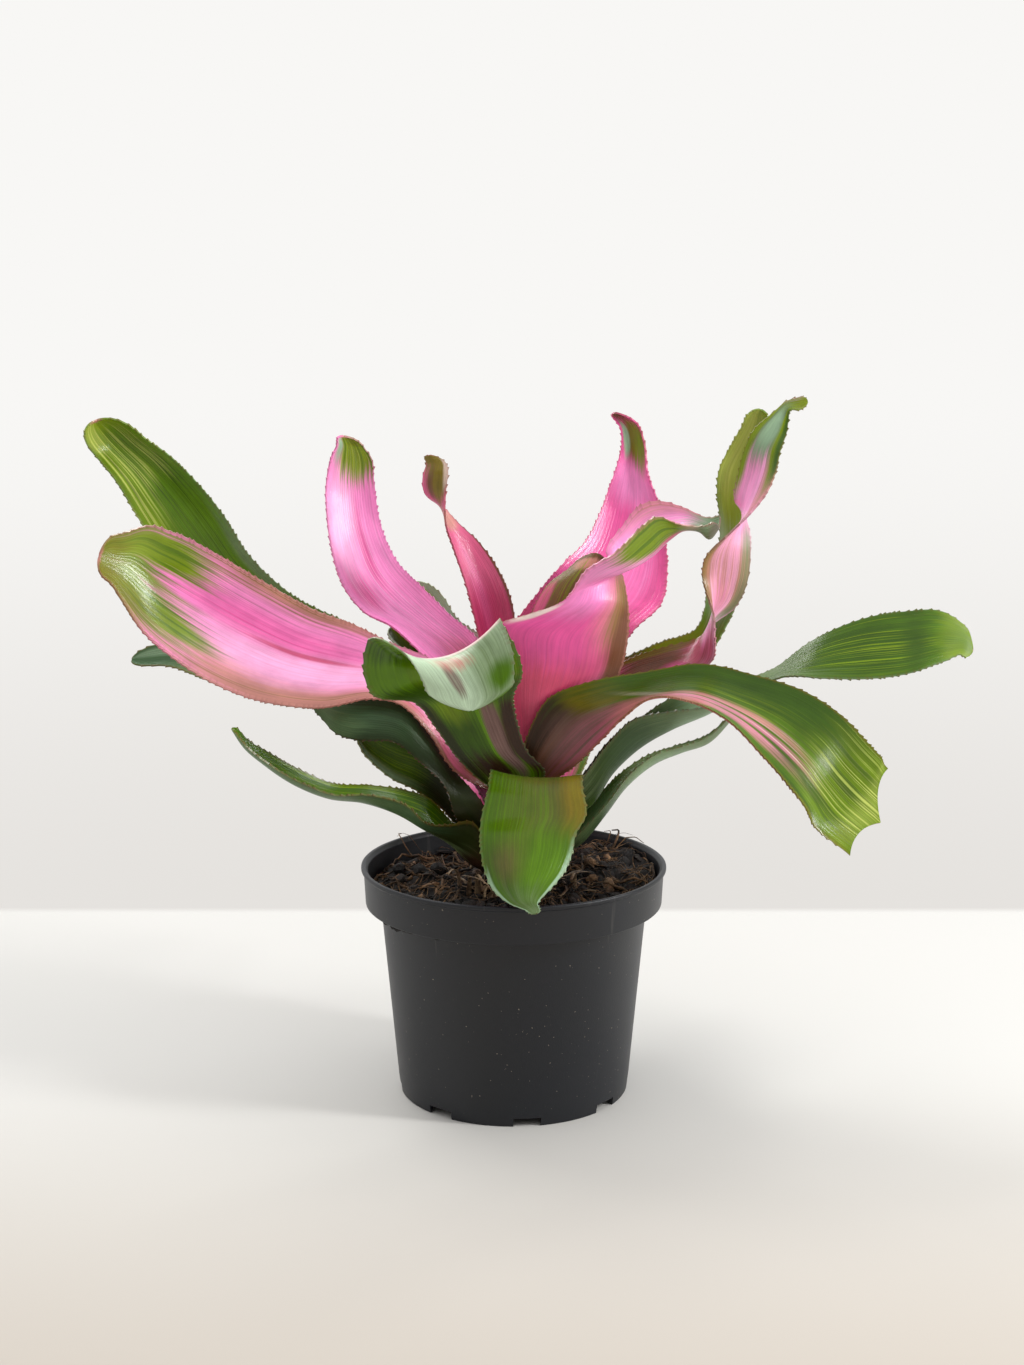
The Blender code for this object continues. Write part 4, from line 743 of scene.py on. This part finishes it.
def leaf_finish(name, number, length):
    """The skin of one leaf: body colour, patches, margins, fibres and the scaly side beneath."""
    slot, body, beneath, margin, patches = FINISHES[name]
    mat, tree, shader = new_material(name.replace("leaf_", "skin_"))
    laid = put(tree, "UVMap", uv_map="UVMap").outputs[0]
    place = put(tree, "SeparateXYZ", {0: laid}).outputs
    across = sums(tree, "MULTIPLY_ADD", place[0], 2.0, -1.0)
    grain = use_group(tree, GROUPS["grain"], {
        "Across": across, "Along": sums(tree, "MULTIPLY", place[1], length),
        "Ribs": RIBS, "Turn": number * GRAIN_TURN})
    under = put(tree, "Attribute", attribute_name="under").outputs["Fac"]
    tooth = put(tree, "Attribute", attribute_name="tooth").outputs["Fac"]
    colour = mixed(tree, under, PAINTS[body], PAINTS[beneath])
    colour = lay_patches(tree, colour, patches, across, place[1], grain, under)
    light = ranged(tree, grain["Fibre"], 0.32, 0.68, 0.9, 1.1, "LINEAR")
    mottle = ranged(tree, grain["Mottle"], 0.3, 0.7, 0.86, 1.12, "LINEAR")
    light = sums(tree, "MULTIPLY", light, mottle)
    grey = put(tree, "CombineColor", {0: light, 1: light, 2: light}).outputs[0]
    colour = mixed(tree, 1.0, colour, grey, "MULTIPLY")
    edge = sums(tree, "MULTIPLY_ADD", grain["Mottle"], 0.03, sums(tree, "ABSOLUTE", across))
    edge = sums(tree, "MULTIPLY", ranged(tree, edge, 0.965, 0.995), MARGIN_STRENGTH)
    colour = mixed(tree, edge, colour, PAINTS[margin])
    colour = mixed(tree, sums(tree, "MULTIPLY", tooth, TOOTH_STRENGTH), colour, PAINTS["brown"])
    rough = sums(tree, "MULTIPLY_ADD", under, 0.1, 0.14)
    rough = sums(tree, "MULTIPLY_ADD", grain["Mottle"], 0.14, rough)
    surface(tree, shader, colour, rough, grain["Height"], strength=0.34, depth=0.0004)
    shader.inputs["Specular IOR Level"].default_value = GLOSS[slot]
    return mat


def pot_finish():
    """Charcoal moulded plastic with dust and pale scuffs."""
    mat, tree, shader = new_material("pot_plastic")
    where = put(tree, "TexCoord").outputs["Object"]
    clouds = noise(tree, where, 18.0, 4.0)
    specks = noise(tree, where, 900.0, 1.0)
    dust = ranged(tree, sums(tree, "MULTIPLY_ADD", clouds, 0.12, specks), 0.81, 0.86)
    drawn = put(tree, "Mapping", {"Vector": where, "Scale": (240.0, 240.0, 16.0)}).outputs[0]
    scuff = ranged(tree, noise(tree, drawn, 1.0, 2.0), 0.70, 0.80)
    scuff = sums(tree, "MULTIPLY", scuff, SCUFF_STRENGTH)
    colour = mixed(tree, clouds, tint(3, 6, 13), tint(9, 14, 24))
    colour = mixed(tree, scuff, colour, tint(96, 94, 90))
    colour = mixed(tree, sums(tree, "MULTIPLY", dust, DUST_STRENGTH), colour, tint(140, 130, 116))
    rough = sums(tree, "MULTIPLY_ADD", clouds, 0.2, 0.36)
    height = sums(tree, "MULTIPLY_ADD", clouds, 0.6, noise(tree, where, 1400.0, 2.0))
    surface(tree, shader, colour, rough, height, strength=0.12, depth=0.0003)
    return mat


def earth_finish(name):
    """Damp peat, bark or root: two browns, broken by crumbs, with painted shade in the hollows between them.
    """
    dark, light, rough = EARTHS[name]
    mat, tree, shader = new_material(name)
    where = put(tree, "TexCoord").outputs["Object"]
    patches = noise(tree, where, 120.0, 5.0, 0.65)
    crumbs = noise(tree, where, 700.0, 4.0, 0.7)
    colour = mixed(tree, ranged(tree, patches, 0.35, 0.68), tint(*dark), tint(*light))
    # Painted shade: where the crumb bumps are low, the colour is darkened toward near black.
    shaded = mixed(tree, 0.6, colour, tint(14, 10, 8))
    colour = mixed(tree, ranged(tree, crumbs, 0.3, 0.5), shaded, colour)
    rough = ranged(tree, patches, 0.3, 0.7, rough - 0.15, rough, "LINEAR")
    surface(tree, shader, colour, rough, crumbs, strength=0.8, depth=0.0008)
    return mat


def table_finish():
    """Table paper with painted shade, darker and warmer near the viewer, and a paler sweep that glows beyond
    its back edge.
    """
    mat, tree, shader = new_material("table_paper")
    where = put(tree, "TexCoord").outputs["Object"]
    far = put(tree, "SeparateXYZ", {0: where}).outputs[1]
    reach = put(tree, "VectorMath", {0: where}, operation="LENGTH").outputs["Value"]
    # Painted shade: the paper's colour darkens toward the viewer.
    near = mixed(tree, ranged(tree, far, -0.34, 0.06), tint(186, 177, 165), tint(209, 208, 204))
    away = sums(tree, "DIVIDE", 1.0, sums(tree, "ADD", reach, EYE_DISTANCE * MM))
    back = mixed(tree, ranged(tree, away, 0.9, 0.12), tint(229, 226, 222), BACKDROP)
    edge = ranged(tree, far, 0.244, 0.256)
    beyond = sums(tree, "MAXIMUM", edge, ranged(tree, reach, 0.7, 2.4))
    wire(tree, shader.inputs["Base Color"], near)
    shader.inputs["Roughness"].default_value = 0.8
    glow = put(tree, "Emission", {"Color": back})
    blend = put(tree, "MixShader", {0: beyond, 1: shader.outputs[0], 2: glow.outputs[0]})
    wire(tree, tree.nodes["Material Output"].inputs["Surface"], blend.outputs[0])
    return mat


# Making pieces

def edit(on=True):
    """Go into edit mode, or out of it."""
    bpy.ops.object.mode_set(mode="EDIT" if on else "OBJECT")


def clear_selection():
    """Select nothing, in object mode."""
    if bpy.context.object and bpy.context.object.mode != "OBJECT":
        edit(False)
    bpy.ops.object.select_all(action="DESELECT")


def pick_out(*objects):
    """Select these objects and make the first one active."""
    clear_selection()
    for obj in objects:
        obj.select_set(True)
    bpy.context.view_layer.objects.active = objects[0]


def points_of(obj, kind="co"):
    """Points of an object, or their normals."""
    values = np.empty(len(obj.data.vertices) * 3)
    obj.data.vertices.foreach_get(kind, values)
    return values.reshape(-1, 3)


def place_points(obj, points):
    """Move the points of an object."""
    obj.data.vertices.foreach_set("co", np.asarray(points, float).ravel())
    obj.data.update()


def mark_points(obj, name, values):
    """Give each point of an object a number that its finish can read."""
    mark = obj.data.attributes.new(name, "FLOAT", "POINT")
    mark.data.foreach_set("value", values)


def settle(obj):
    """Put the object's place and size into its mesh."""
    pick_out(obj)
    bpy.ops.object.transform_apply(location=True, rotation=True, scale=True)


def apply_modifiers(obj):
    """Make the object's modifiers part of its mesh."""
    pick_out(obj)
    for modifier in list(obj.modifiers):
        bpy.ops.object.modifier_apply(modifier=modifier.name)


def join(pieces, name):
    """Join pieces into one, with this name."""
    pick_out(*pieces)
    bpy.ops.object.join()
    joined = bpy.context.object
    joined.name = name
    return joined


def twin(source):
    """A copy of an object with a mesh of its own."""
    made = source.copy()
    made.data = source.data.copy()
    bpy.context.scene.collection.objects.link(made)
    return made


def smooth_by_angle(degrees):
    """Smooth the active object, but for edges sharper than this."""
    bpy.ops.object.shade_smooth_by_angle(angle=math.radians(degrees))


def fit_out(obj, mat, slot, *nodes):
    """Give a finished piece its material and hide the node it stands for. The slot is not used."""
    obj.data.materials.clear()
    obj.data.materials.append(mat)
    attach(obj, "root")
    if nodes:
        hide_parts(*nodes)


def disc(sides, radius, height=0.0):
    """A filled ring, left in edit mode with all of it selected."""
    clear_selection()
    place = (0, 0, height)
    bpy.ops.mesh.primitive_circle_add(vertices=sides, radius=radius, fill_type="NGON", location=place)
    obj = bpy.context.object
    settle(obj)
    edit(True)
    bpy.ops.mesh.select_mode(type="EDGE")
    bpy.ops.mesh.select_all(action="SELECT")
    return obj


def draw_ring(rise):
    """Draw the selected edges up, or down when the rise is below nothing."""
    bpy.ops.mesh.extrude_edges_move(TRANSFORM_OT_translate={"value": (0, 0, rise)})


def widen_ring(grow, height, upright=1):
    """Widen the selected ring about the axis. Upright 0 also levels it at this height."""
    bpy.ops.transform.resize(value=(grow, grow, upright), center_override=(0, 0, height))


def close_up():
    """Fill the last ring, turn all faces outward and leave edit mode."""
    bpy.ops.mesh.edge_face_add()
    bpy.ops.mesh.select_all(action="SELECT")
    bpy.ops.mesh.normals_make_consistent(inside=False)
    edit(False)


def draw_up(rings, sides):
    """Draw rings (radius, height) one from another, the first and last of them filled."""
    radius, height = rings[0]
    obj = disc(sides, radius * MM, height * MM)
    for new_radius, new_height in rings[1:]:
        draw_ring((new_height - height) * MM)
        widen_ring(new_radius / radius, new_height * MM)
        radius, height = new_radius, new_height
    close_up()
    return obj


# Leaves

def tooth_heights(rng, count):
    """How far a tooth stands out at each row, on the first margin and on the second."""
    rise = np.zeros((2, count))
    for side in range(2):
        step = FIRST_TOOTH + rng.integers(3)
        while step < count - LAST_TOOTH:
            rise[side, step] = TOOTH * rng.uniform(0.35, 1.0)
            step += rng.integers(2, 5)
    return rise


def bitten(rows, step, share, point, bite):
    """A point of a leaf with a bite, drawn back when it is near the leaf's end."""
    left = (len(rows) - 1 - step) * ROW_PITCH / BITE_REACH
    if left >= 1:
        return point
    ahead = point - across_row(rows[step - 3], share)
    ahead /= np.linalg.norm(ahead)
    return point - ahead * bite * 4 * abs(share) * (1 - abs(share)) * (1 - left) ** 2


def toothed(rows, step, share, point, height):
    """A margin point drawn out, and a little toward the tip, into a tooth."""
    out = point - across_row(rows[step], share * 0.85)
    out /= np.linalg.norm(out) + 1e-9
    ahead = across_row(rows[step + 1], share) - point
    return point + out * height + ahead * TOOTH_LEAN


def lay_blade(leaf, rows, rise, bite):
    """Lay a flat grid onto the leaf's rows, teeth and bite included, and mark its teeth."""
    flat = points_of(leaf)
    steps = np.rint((flat[:, 1] + 1) / 2 * (len(rows) - 1)).astype(int)
    points = np.empty_like(flat)
    teeth = np.zeros(len(flat))
    for i, (share, step) in enumerate(zip(flat[:, 0], steps)):
        point = across_row(rows[step], share)
        if bite:
            point = bitten(rows, step, share, point, bite)
        height = rise[0 if share < 0 else 1, step]
        if abs(share) > 0.999 and height:
            point = toothed(rows, step, share, point, height)
            teeth[i] = 1.0
        points[i] = point
    place_points(leaf, points * MM)
    mark_points(leaf, "tooth", teeth)


def thicken(leaf):
    """Give the blade its thickness, and mark the points of its lower face."""
    middle = points_of(leaf)
    normals = points_of(leaf, "normal")
    count = len(middle)
    thick = leaf.modifiers.new("thickness", "SOLIDIFY")
    thick.thickness = BLADE * MM
    thick.offset = 0.0
    thick.use_even_offset = False
    apply_modifiers(leaf)
    solid = points_of(leaf)
    first_is_upper = ((solid[:count] - middle) * normals).sum(1).mean() > 0
    under = np.zeros(len(solid))
    under[count:] = first_is_upper
    under[:count] = not first_is_upper
    mark_points(leaf, "under", under)


def build_leaf(name, number):
    """A flat grid laid onto the leaf's rows, with a saw edge, then given its thickness."""
    spec = LEAVES[name]
    rows, tip = leaf_rows(spec)
    bite = spec.get("bite", 0.0)
    if not bite:
        rows.append((tip, tip, tip))
    clear_selection()
    cells = {"x_subdivisions": CELLS_ACROSS, "y_subdivisions": len(rows) - 1}
    bpy.ops.mesh.primitive_grid_add(size=2, **cells)
    leaf = bpy.context.object
    leaf.name = name.replace("leaf_", "blade_")
    leaf.data.name = leaf.name
    lay_blade(leaf, rows, tooth_heights(np.random.default_rng(100 + number), len(rows)), bite)
    edit(True)
    bpy.ops.mesh.select_all(action="SELECT")
    bpy.ops.mesh.remove_doubles(threshold=WELD * MM)
    edit(False)
    thicken(leaf)
    smooth_by_angle(BLADE_CREASE)
    length = sum(np.linalg.norm(b[1] - a[1]) for a, b in zip(rows, rows[1:]))
    fit_out(leaf, leaf_finish(name, number, length), FINISHES[name][0], name)


# Pot

def wall_radius(height):
    """Outer radius of the plain wall at a height."""
    return BASE_RADIUS + (WALL_TOP_RADIUS - BASE_RADIUS) * height / COLLAR_FOOT


def rounded(before, corner, after, radius):
    """Points of a rounded corner between two straight stretches of a profile."""
    corner = np.array(corner, float)
    ends = []
    for other in (before, after):
        way = np.array(other, float) - corner
        length = np.linalg.norm(way)
        ends.append(corner + way / length * min(radius, length * 0.45))
    out = []
    for t in np.linspace(0, 1, CORNER_STEPS):
        out.append(tuple((1 - t) ** 2 * ends[0] + 2 * t * (1 - t) * corner + t * t * ends[1]))
    return out


def pot_profile():
    """Corners of the pot's section, outside and then inside: (radius, height, rounding)."""
    return [
        (FLOOR_RING, FLOOR_UNDERSIDE, 0), (BASE_RADIUS - 2.0, FLOOR_UNDERSIDE, 0.6),
        (BASE_RADIUS - 1.6, 0.0, 0.3), (BASE_RADIUS - 0.2, 0.0, 0.4),
        (wall_radius(6.0), 6.0, 0), (WALL_TOP_RADIUS, COLLAR_FOOT - 0.2, 0.5),
        (COLLAR_FOOT_RADIUS, COLLAR_FOOT - 0.2, 0.6), (COLLAR_RADIUS, POT_HEIGHT - 2.3, 0.4),
        (LIP_RADIUS, POT_HEIGHT - 1.5, 0.3), (LIP_RADIUS, POT_HEIGHT, 0.6),
        (LIP_RADIUS - 1.6, POT_HEIGHT, 0.5), (COLLAR_RADIUS - WALL - 0.3, POT_HEIGHT - 1.6, 0.5),
        (COLLAR_FOOT_RADIUS - WALL - 0.4, COLLAR_FOOT + WALL, 0.6),
        (WALL_TOP_RADIUS - WALL, COLLAR_FOOT + WALL - 0.4, 0.6), (wall_radius(12.0) - WALL, 12.0, 0),
        (wall_radius(FLOOR_TOP) - WALL, FLOOR_TOP, 1.5), (FLOOR_RING, FLOOR_TOP, 0)]


def cut_notch(pot, bearing):
    """Cut one notch out of the pot's foot."""
    height = NOTCH_HEIGHT + CUTTER_BELOW
    reach = (BASE_RADIUS - NOTCH_INSET) * MM
    clear_selection()
    bpy.ops.mesh.primitive_cube_add(size=1, location=(0, 0, (NOTCH_HEIGHT - height / 2) * MM))
    cutter = bpy.context.object
    cutter.scale = (NOTCH_DEPTH * MM, NOTCH_WIDTH * MM, height * MM)
    cutter.location.x = reach * math.cos(bearing)
    cutter.location.y = reach * math.sin(bearing)
    cutter.rotation_euler.z = bearing
    settle(cutter)
    cut = pot.modifiers.new("notch", "BOOLEAN")
    cut.operation = "DIFFERENCE"
    cut.solver = "EXACT"
    cut.object = cutter
    apply_modifiers(pot)
    bpy.data.objects.remove(cutter)


def build_pot():
    """The nursery pot, with a rounded lip, a plain collar and eight notches in its foot."""
    profile = pot_profile()
    rings = []
    for i, (radius, height, curve) in enumerate(profile):
        if curve:
            rings += rounded(profile[i - 1][:2], (radius, height), profile[i + 1][:2], curve)
        else:
            rings.append((radius, height))
    pot = draw_up(rings, POT_SIDES)
    pot.name = "pot_shell"
    for number in range(NOTCH_COUNT):
        cut_notch(pot, math.radians(-90 + NOTCH_TURN + number * 360 / NOTCH_COUNT))
    pick_out(pot)
    smooth_by_angle(POT_CREASE)
    fit_out(pot, pot_finish(), "pot_plastic", "pot")


# Soil, with what lies on it

def soil_height(x, y):
    """Height of the soil: a mound round the stem, a slope, two heaps near the rim and lumps."""
    away = math.hypot(x - STEM_X, y)
    height = SOIL_EDGE_HEIGHT + SOIL_MOUND * math.exp(-(away / SOIL_MOUND_RADIUS) ** 2)
    height += SOIL_SLOPE[0] * x + SOIL_SLOPE[1] * y
    for across, back, rise, spread in SOIL_HEAPS:
        height += rise * math.exp(-((x - across) ** 2 + (y - back) ** 2) / spread)
    for size, rise, layer in SOIL_LUMPS:
        height += rise * ground_noise.noise((x / size, y / size, layer))
    return height


def build_soil():
    """The peat: a disc set in from ring to ring, lifted into lumps, with a wall and floor below it."""
    soil = disc(SOIL_SIDES, SOIL_RADIUS * MM, SOIL_EDGE_HEIGHT * MM)
    soil.name = "soil_bed"
    bpy.ops.mesh.select_mode(type="FACE")
    bpy.ops.mesh.select_all(action="SELECT")
    for k in range(SOIL_RINGS):
        bpy.ops.mesh.inset(thickness=SOIL_RING_STEP * MM)
    edit(False)
    points = points_of(soil)
    points[:, 2] = [soil_height(x, y) * MM for x, y in points[:, :2] / MM]
    place_points(soil, points)
    edit(True)
    bpy.ops.mesh.select_all(action="DESELECT")
    bpy.ops.mesh.select_mode(type="EDGE")
    edit(False)
    reach = np.hypot(points[:, 0], points[:, 1])
    for edge in soil.data.edges:
        edge.select = all(reach[v] > (SOIL_RADIUS - 0.2) * MM for v in edge.vertices)
    edit(True)
    draw_ring(-SOIL_SKIRT * MM)
    draw_ring(-SOIL_SKIRT * MM)
    widen_ring((WALL_TOP_RADIUS - WALL - 1.0) / SOIL_RADIUS, SOIL_STEP_HEIGHT * MM, 0)
    draw_ring((SOIL_FOOT_HEIGHT - SOIL_STEP_HEIGHT) * MM)
    widen_ring(SOIL_FOOT_SHARE, SOIL_FOOT_HEIGHT * MM)
    close_up()
    smooth_by_angle(SOIL_CREASE)
    fit_out(soil, earth_finish("peat"), "compost", "soil")


def pick_size(rng, sizes):
    """One of the sizes, each as likely as its share says."""
    return rng.choice(list(sizes), p=list(sizes.values()))


def soil_spot(rng, inner, outer):
    """A place on the soil clear of the stem."""
    while True:
        x, y = rng.uniform(-outer, outer, 2)
        if math.hypot(x, y) < outer and math.hypot(x - STEM_X, y) > inner:
            return x, y


def crumb_shape(number, size):
    """One lumpy crumb, flat beneath."""
    clear_selection()
    bpy.ops.mesh.primitive_ico_sphere_add(subdivisions=2, radius=1)
    shape = bpy.context.object
    rng = np.random.default_rng(40 + number)
    points = points_of(shape)
    points *= 1 + CRUMB_WOBBLE * (rng.random(len(points))[:, None] - 0.5)
    points[:, 2] = np.maximum(points[:, 2], CRUMB_FLAT)
    place_points(shape, points * size)
    return shape


def scatter_crumb(rng, shapes):
    """A copy of one of the shapes, turned and laid somewhere on the soil."""
    source = shapes[rng.integers(len(shapes))]
    x, y = soil_spot(rng, inner=13.0, outer=59.0)
    crumb = twin(source)
    size = pick_size(rng, CRUMB_SIZES) * rng.uniform(0.8, 1.3)
    crumb.location = (x * MM, y * MM, (soil_height(x, y) + 0.3 * size) * MM)
    crumb.rotation_euler = rng.uniform(-0.6, 0.6, 3) + (0, 0, rng.uniform(0, 6.3))
    crumb.scale = (size * MM,) * 3
    return crumb


def build_crumbs():
    """Bark chips and peat crumbs: a few shapes made once and copied over the soil."""
    shapes = [crumb_shape(number, size) for number, size in enumerate(CRUMB_SHAPES)]
    rng = np.random.default_rng(7)
    made = [scatter_crumb(rng, shapes) for number in range(CRUMB_COUNT)]
    for shape in shapes:
        bpy.data.objects.remove(shape)
    chips = join(made[::CHIP_EVERY], "soil_chips")
    settle(chips)
    fit_out(chips, earth_finish("pale_bark"), "compost")
    crumbs = join([crumb for place, crumb in enumerate(made) if place % CHIP_EVERY], "soil_crumbs")
    settle(crumbs)
    fit_out(crumbs, earth_finish("bark_crumbs"), "compost")


def root_path(rng):
    """One root hair lying loosely over the soil."""
    x, y = soil_spot(rng, inner=11.0, outer=60.0)
    heading = rng.uniform(0, 2 * math.pi)
    length = rng.uniform(12, 42)
    bow = rng.uniform(-0.16, 0.16)
    lift = rng.uniform(0.2, 4.5) if rng.random() < RAISED_ROOTS else rng.uniform(0.1, 1.0)
    path = []
    for k in range(STRAND_RINGS):
        share = k / (STRAND_RINGS - 1)
        path.append([x, y, soil_height(x, y) + 0.4 + lift * math.sin(math.pi * share) ** 1.5])
        heading += bow + rng.normal(0, 0.16)
        x += math.cos(heading) * length / STRAND_RINGS
        y += math.sin(heading) * length / STRAND_RINGS
        reach = math.hypot(x, y)
        if reach > ROOT_REACH:
            x, y = x * ROOT_REACH / reach, y * ROOT_REACH / reach
    return np.array(path)


def rim_path(rng, bearing):
    """One strand that leaves the soil and hangs out over the pot's lip."""
    drift = rng.uniform(-0.16, 0.16)
    high = POT_HEIGHT + rng.uniform(0.8, 3.0)
    out = LIP_RADIUS + rng.uniform(0.8, 2.6)
    fall = rng.uniform(0.0, 2.0)
    knots = [
        (50.0, SOIL_EDGE_HEIGHT + 1.5), (57.0, SOIL_EDGE_HEIGHT + 7.0), (62.0, POT_HEIGHT + 0.9),
        (65.4, high), (out, high - 0.5 - fall)]
    at = np.linspace(0, len(knots) - 1, STRAND_RINGS)
    reach, rise = [np.interp(at, range(len(knots)), values) for values in zip(*knots)]
    turn = math.radians(bearing) + drift * np.linspace(0, 1, STRAND_RINGS) ** 2
    return np.column_stack([reach * np.cos(turn), reach * np.sin(turn), rise])


def husk_path(rng, bearing, reach, height):
    """One dead strip of old leaf standing beside the stem and curling over."""
    share = np.linspace(0, 1, STRAND_RINGS)
    out = reach + rng.uniform(4, 11) * share ** 2
    turn = math.radians(bearing) + rng.uniform(-0.5, 0.5) * share ** 2
    rise = HUSK_FOOT + height * np.sin(share * math.radians(rng.uniform(80, 135)))
    return np.column_stack([STEM_X + out * np.cos(turn), out * np.sin(turn), rise])


def straight_tube():
    """A straight closed tube with one ring at each whole number of height."""
    tube = disc(STRAND_SIDES, 1)
    for k in range(STRAND_RINGS - 1):
        draw_ring(1)
    close_up()
    return tube


def sweep_tube(source, path, radius, taper=STRAND_TAPER, flatness=1.0):
    """Lay a copy of a straight tube along a path."""
    tube = twin(source)
    points = points_of(tube)
    order = np.rint(points[:, 2]).astype(int).clip(0, STRAND_RINGS - 1)
    turn = np.arctan2(points[:, 1], points[:, 0])
    along = np.gradient(path, axis=0)
    along /= np.linalg.norm(along, axis=1)[:, None] + 1e-9
    side = np.cross(along, (0, 0, 1.0))
    side /= np.linalg.norm(side, axis=1)[:, None] + 1e-9
    up = np.cross(side, along)
    girth = radius * (1 - (1 - taper) * np.linspace(0, 1, STRAND_RINGS))[order]
    aside = side[order] * (girth * np.cos(turn))[:, None]
    above = up[order] * (flatness * girth * np.sin(turn))[:, None]
    place_points(tube, (path[order] + aside + above) * MM)
    return tube


def build_roots():
    """Root hairs, coir strands and old husks: one tube copied and laid along each one's path."""
    source = straight_tube()
    rng = np.random.default_rng(23)
    paths = [root_path(rng) for number in range(ROOT_COUNT)]
    paths += [rim_path(rng, bearing + rng.uniform(-4, 4)) for bearing in RIM_BEARINGS]
    strands = [sweep_tube(source, path, pick_size(rng, ROOT_SIZES)) for path in paths]
    husks = []
    for number in range(HUSK_COUNT):
        bearing = rng.uniform(195, 345) if number < FRONT_HUSK_COUNT else rng.uniform(0, 360)
        path = husk_path(rng, bearing, rng.uniform(13.0, 30.0), rng.uniform(3, 12))
        husks.append(sweep_tube(source, path, rng.uniform(0.7, 2.0), HUSK_TAPER, HUSK_FLATNESS))
    bpy.data.objects.remove(source)
    papery = join(husks, "soil_husks")
    bpy.ops.object.shade_smooth()
    fit_out(papery, earth_finish("papery_husk"), "compost")
    roots = join(strands, "soil_roots")
    bpy.ops.object.shade_smooth()
    fit_out(roots, earth_finish("root_hairs"), "compost")


def build_stem():
    """The short stem in the middle, ringed with old leaf scars."""
    rings = []
    for height in np.arange(STEM_PROFILE[0][0], STEM_PROFILE[-1][0] + 0.1, STEM_RING_PITCH):
        scar = SCAR_HEIGHT * math.sin(height * SCAR_TURN) ** 3
        rings.append((stem_radius(height) - STEM_INSET + scar, height))
    stem = draw_up(rings, STEM_SIDES)
    stem.name = "stem_core"
    stem.location.x = STEM_X * MM
    settle(stem)
    bpy.ops.object.shade_smooth()
    fit_out(stem, earth_finish("stem_skin"), "stem", "stem")


# Picture

def set_camera():
    """The viewer's eye, in front of the pot and looking a little down."""
    lens = bpy.data.cameras.new("camera")
    lens.lens = LENS
    lens.sensor_width = SENSOR
    lens.shift_x = SHIFT
    camera = bpy.data.objects.new("camera", lens)
    camera.location = (0, -EYE_DISTANCE * MM, EYE_HEIGHT * MM)
    camera.rotation_euler = (math.radians(90 - LOOK_DOWN), 0, 0)
    bpy.context.scene.collection.objects.link(camera)
    bpy.context.scene.camera = camera


def area_light(name, place, target, size, power, colour=(1, 1, 1)):
    """A soft box that shines from its place toward a target."""
    data = bpy.data.lights.new(name, "AREA")
    data.shape = "RECTANGLE"
    data.size, data.size_y = size
    data.energy = power
    data.color = colour
    light = bpy.data.objects.new(name, data)
    light.location = place
    light.rotation_euler = (Vector(target) - Vector(place)).to_track_quat("-Z", "Y").to_euler()
    light.visible_camera = False
    bpy.context.scene.collection.objects.link(light)


def set_table():
    """A pale table running back into a paler sweep."""
    clear_selection()
    bpy.ops.mesh.primitive_grid_add(x_subdivisions=4, y_subdivisions=4, size=TABLE_SIZE * MM)
    table = bpy.context.object
    table.name = "table"
    settle(table)
    table.data.materials.append(table_finish())


def set_light():
    """The soft light of a white box that is open, and darker, to the front."""
    world = bpy.data.worlds.new("white_box")
    world.use_nodes = True
    tree = world.node_tree
    way = put(tree, "SeparateXYZ", {0: put(tree, "TexCoord").outputs["Generated"]}).outputs
    opening = sums(tree, "MULTIPLY", ranged(tree, way[1], -0.3, -0.75), ranged(tree, way[2], 0.62, 0.3))
    light = mixed(tree, opening, (0.94, 0.94, 0.95, 1), (0.22, 0.21, 0.20, 1))
    seen = put(tree, "LightPath").outputs["Is Camera Ray"]
    wire(tree, tree.nodes["Background"].inputs["Color"], mixed(tree, seen, light, BACKDROP))
    bpy.context.scene.world = world
    area_light(
        "top_box", place=(-0.42, 0.45, 1.15), target=(0, 0, 0.12), size=(0.5, 0.4), power=6.4,
        colour=(1.0, 0.99, 0.97))
    area_light(
        "right_box", place=(1.1, -0.35, 0.75), target=(0, 0, 0.18), size=(0.16, 0.5), power=11.0)
    bpy.context.scene.view_settings.view_transform = "Standard"


set_camera()
set_table()
set_light()
GROUPS = {"grain": make_leaf_grain(), "patch": make_soft_patch()}
build_pot()
build_soil()
build_crumbs()
build_roots()
build_stem()
for count, leaf_name in enumerate(LEAVES):
    build_leaf(leaf_name, count)
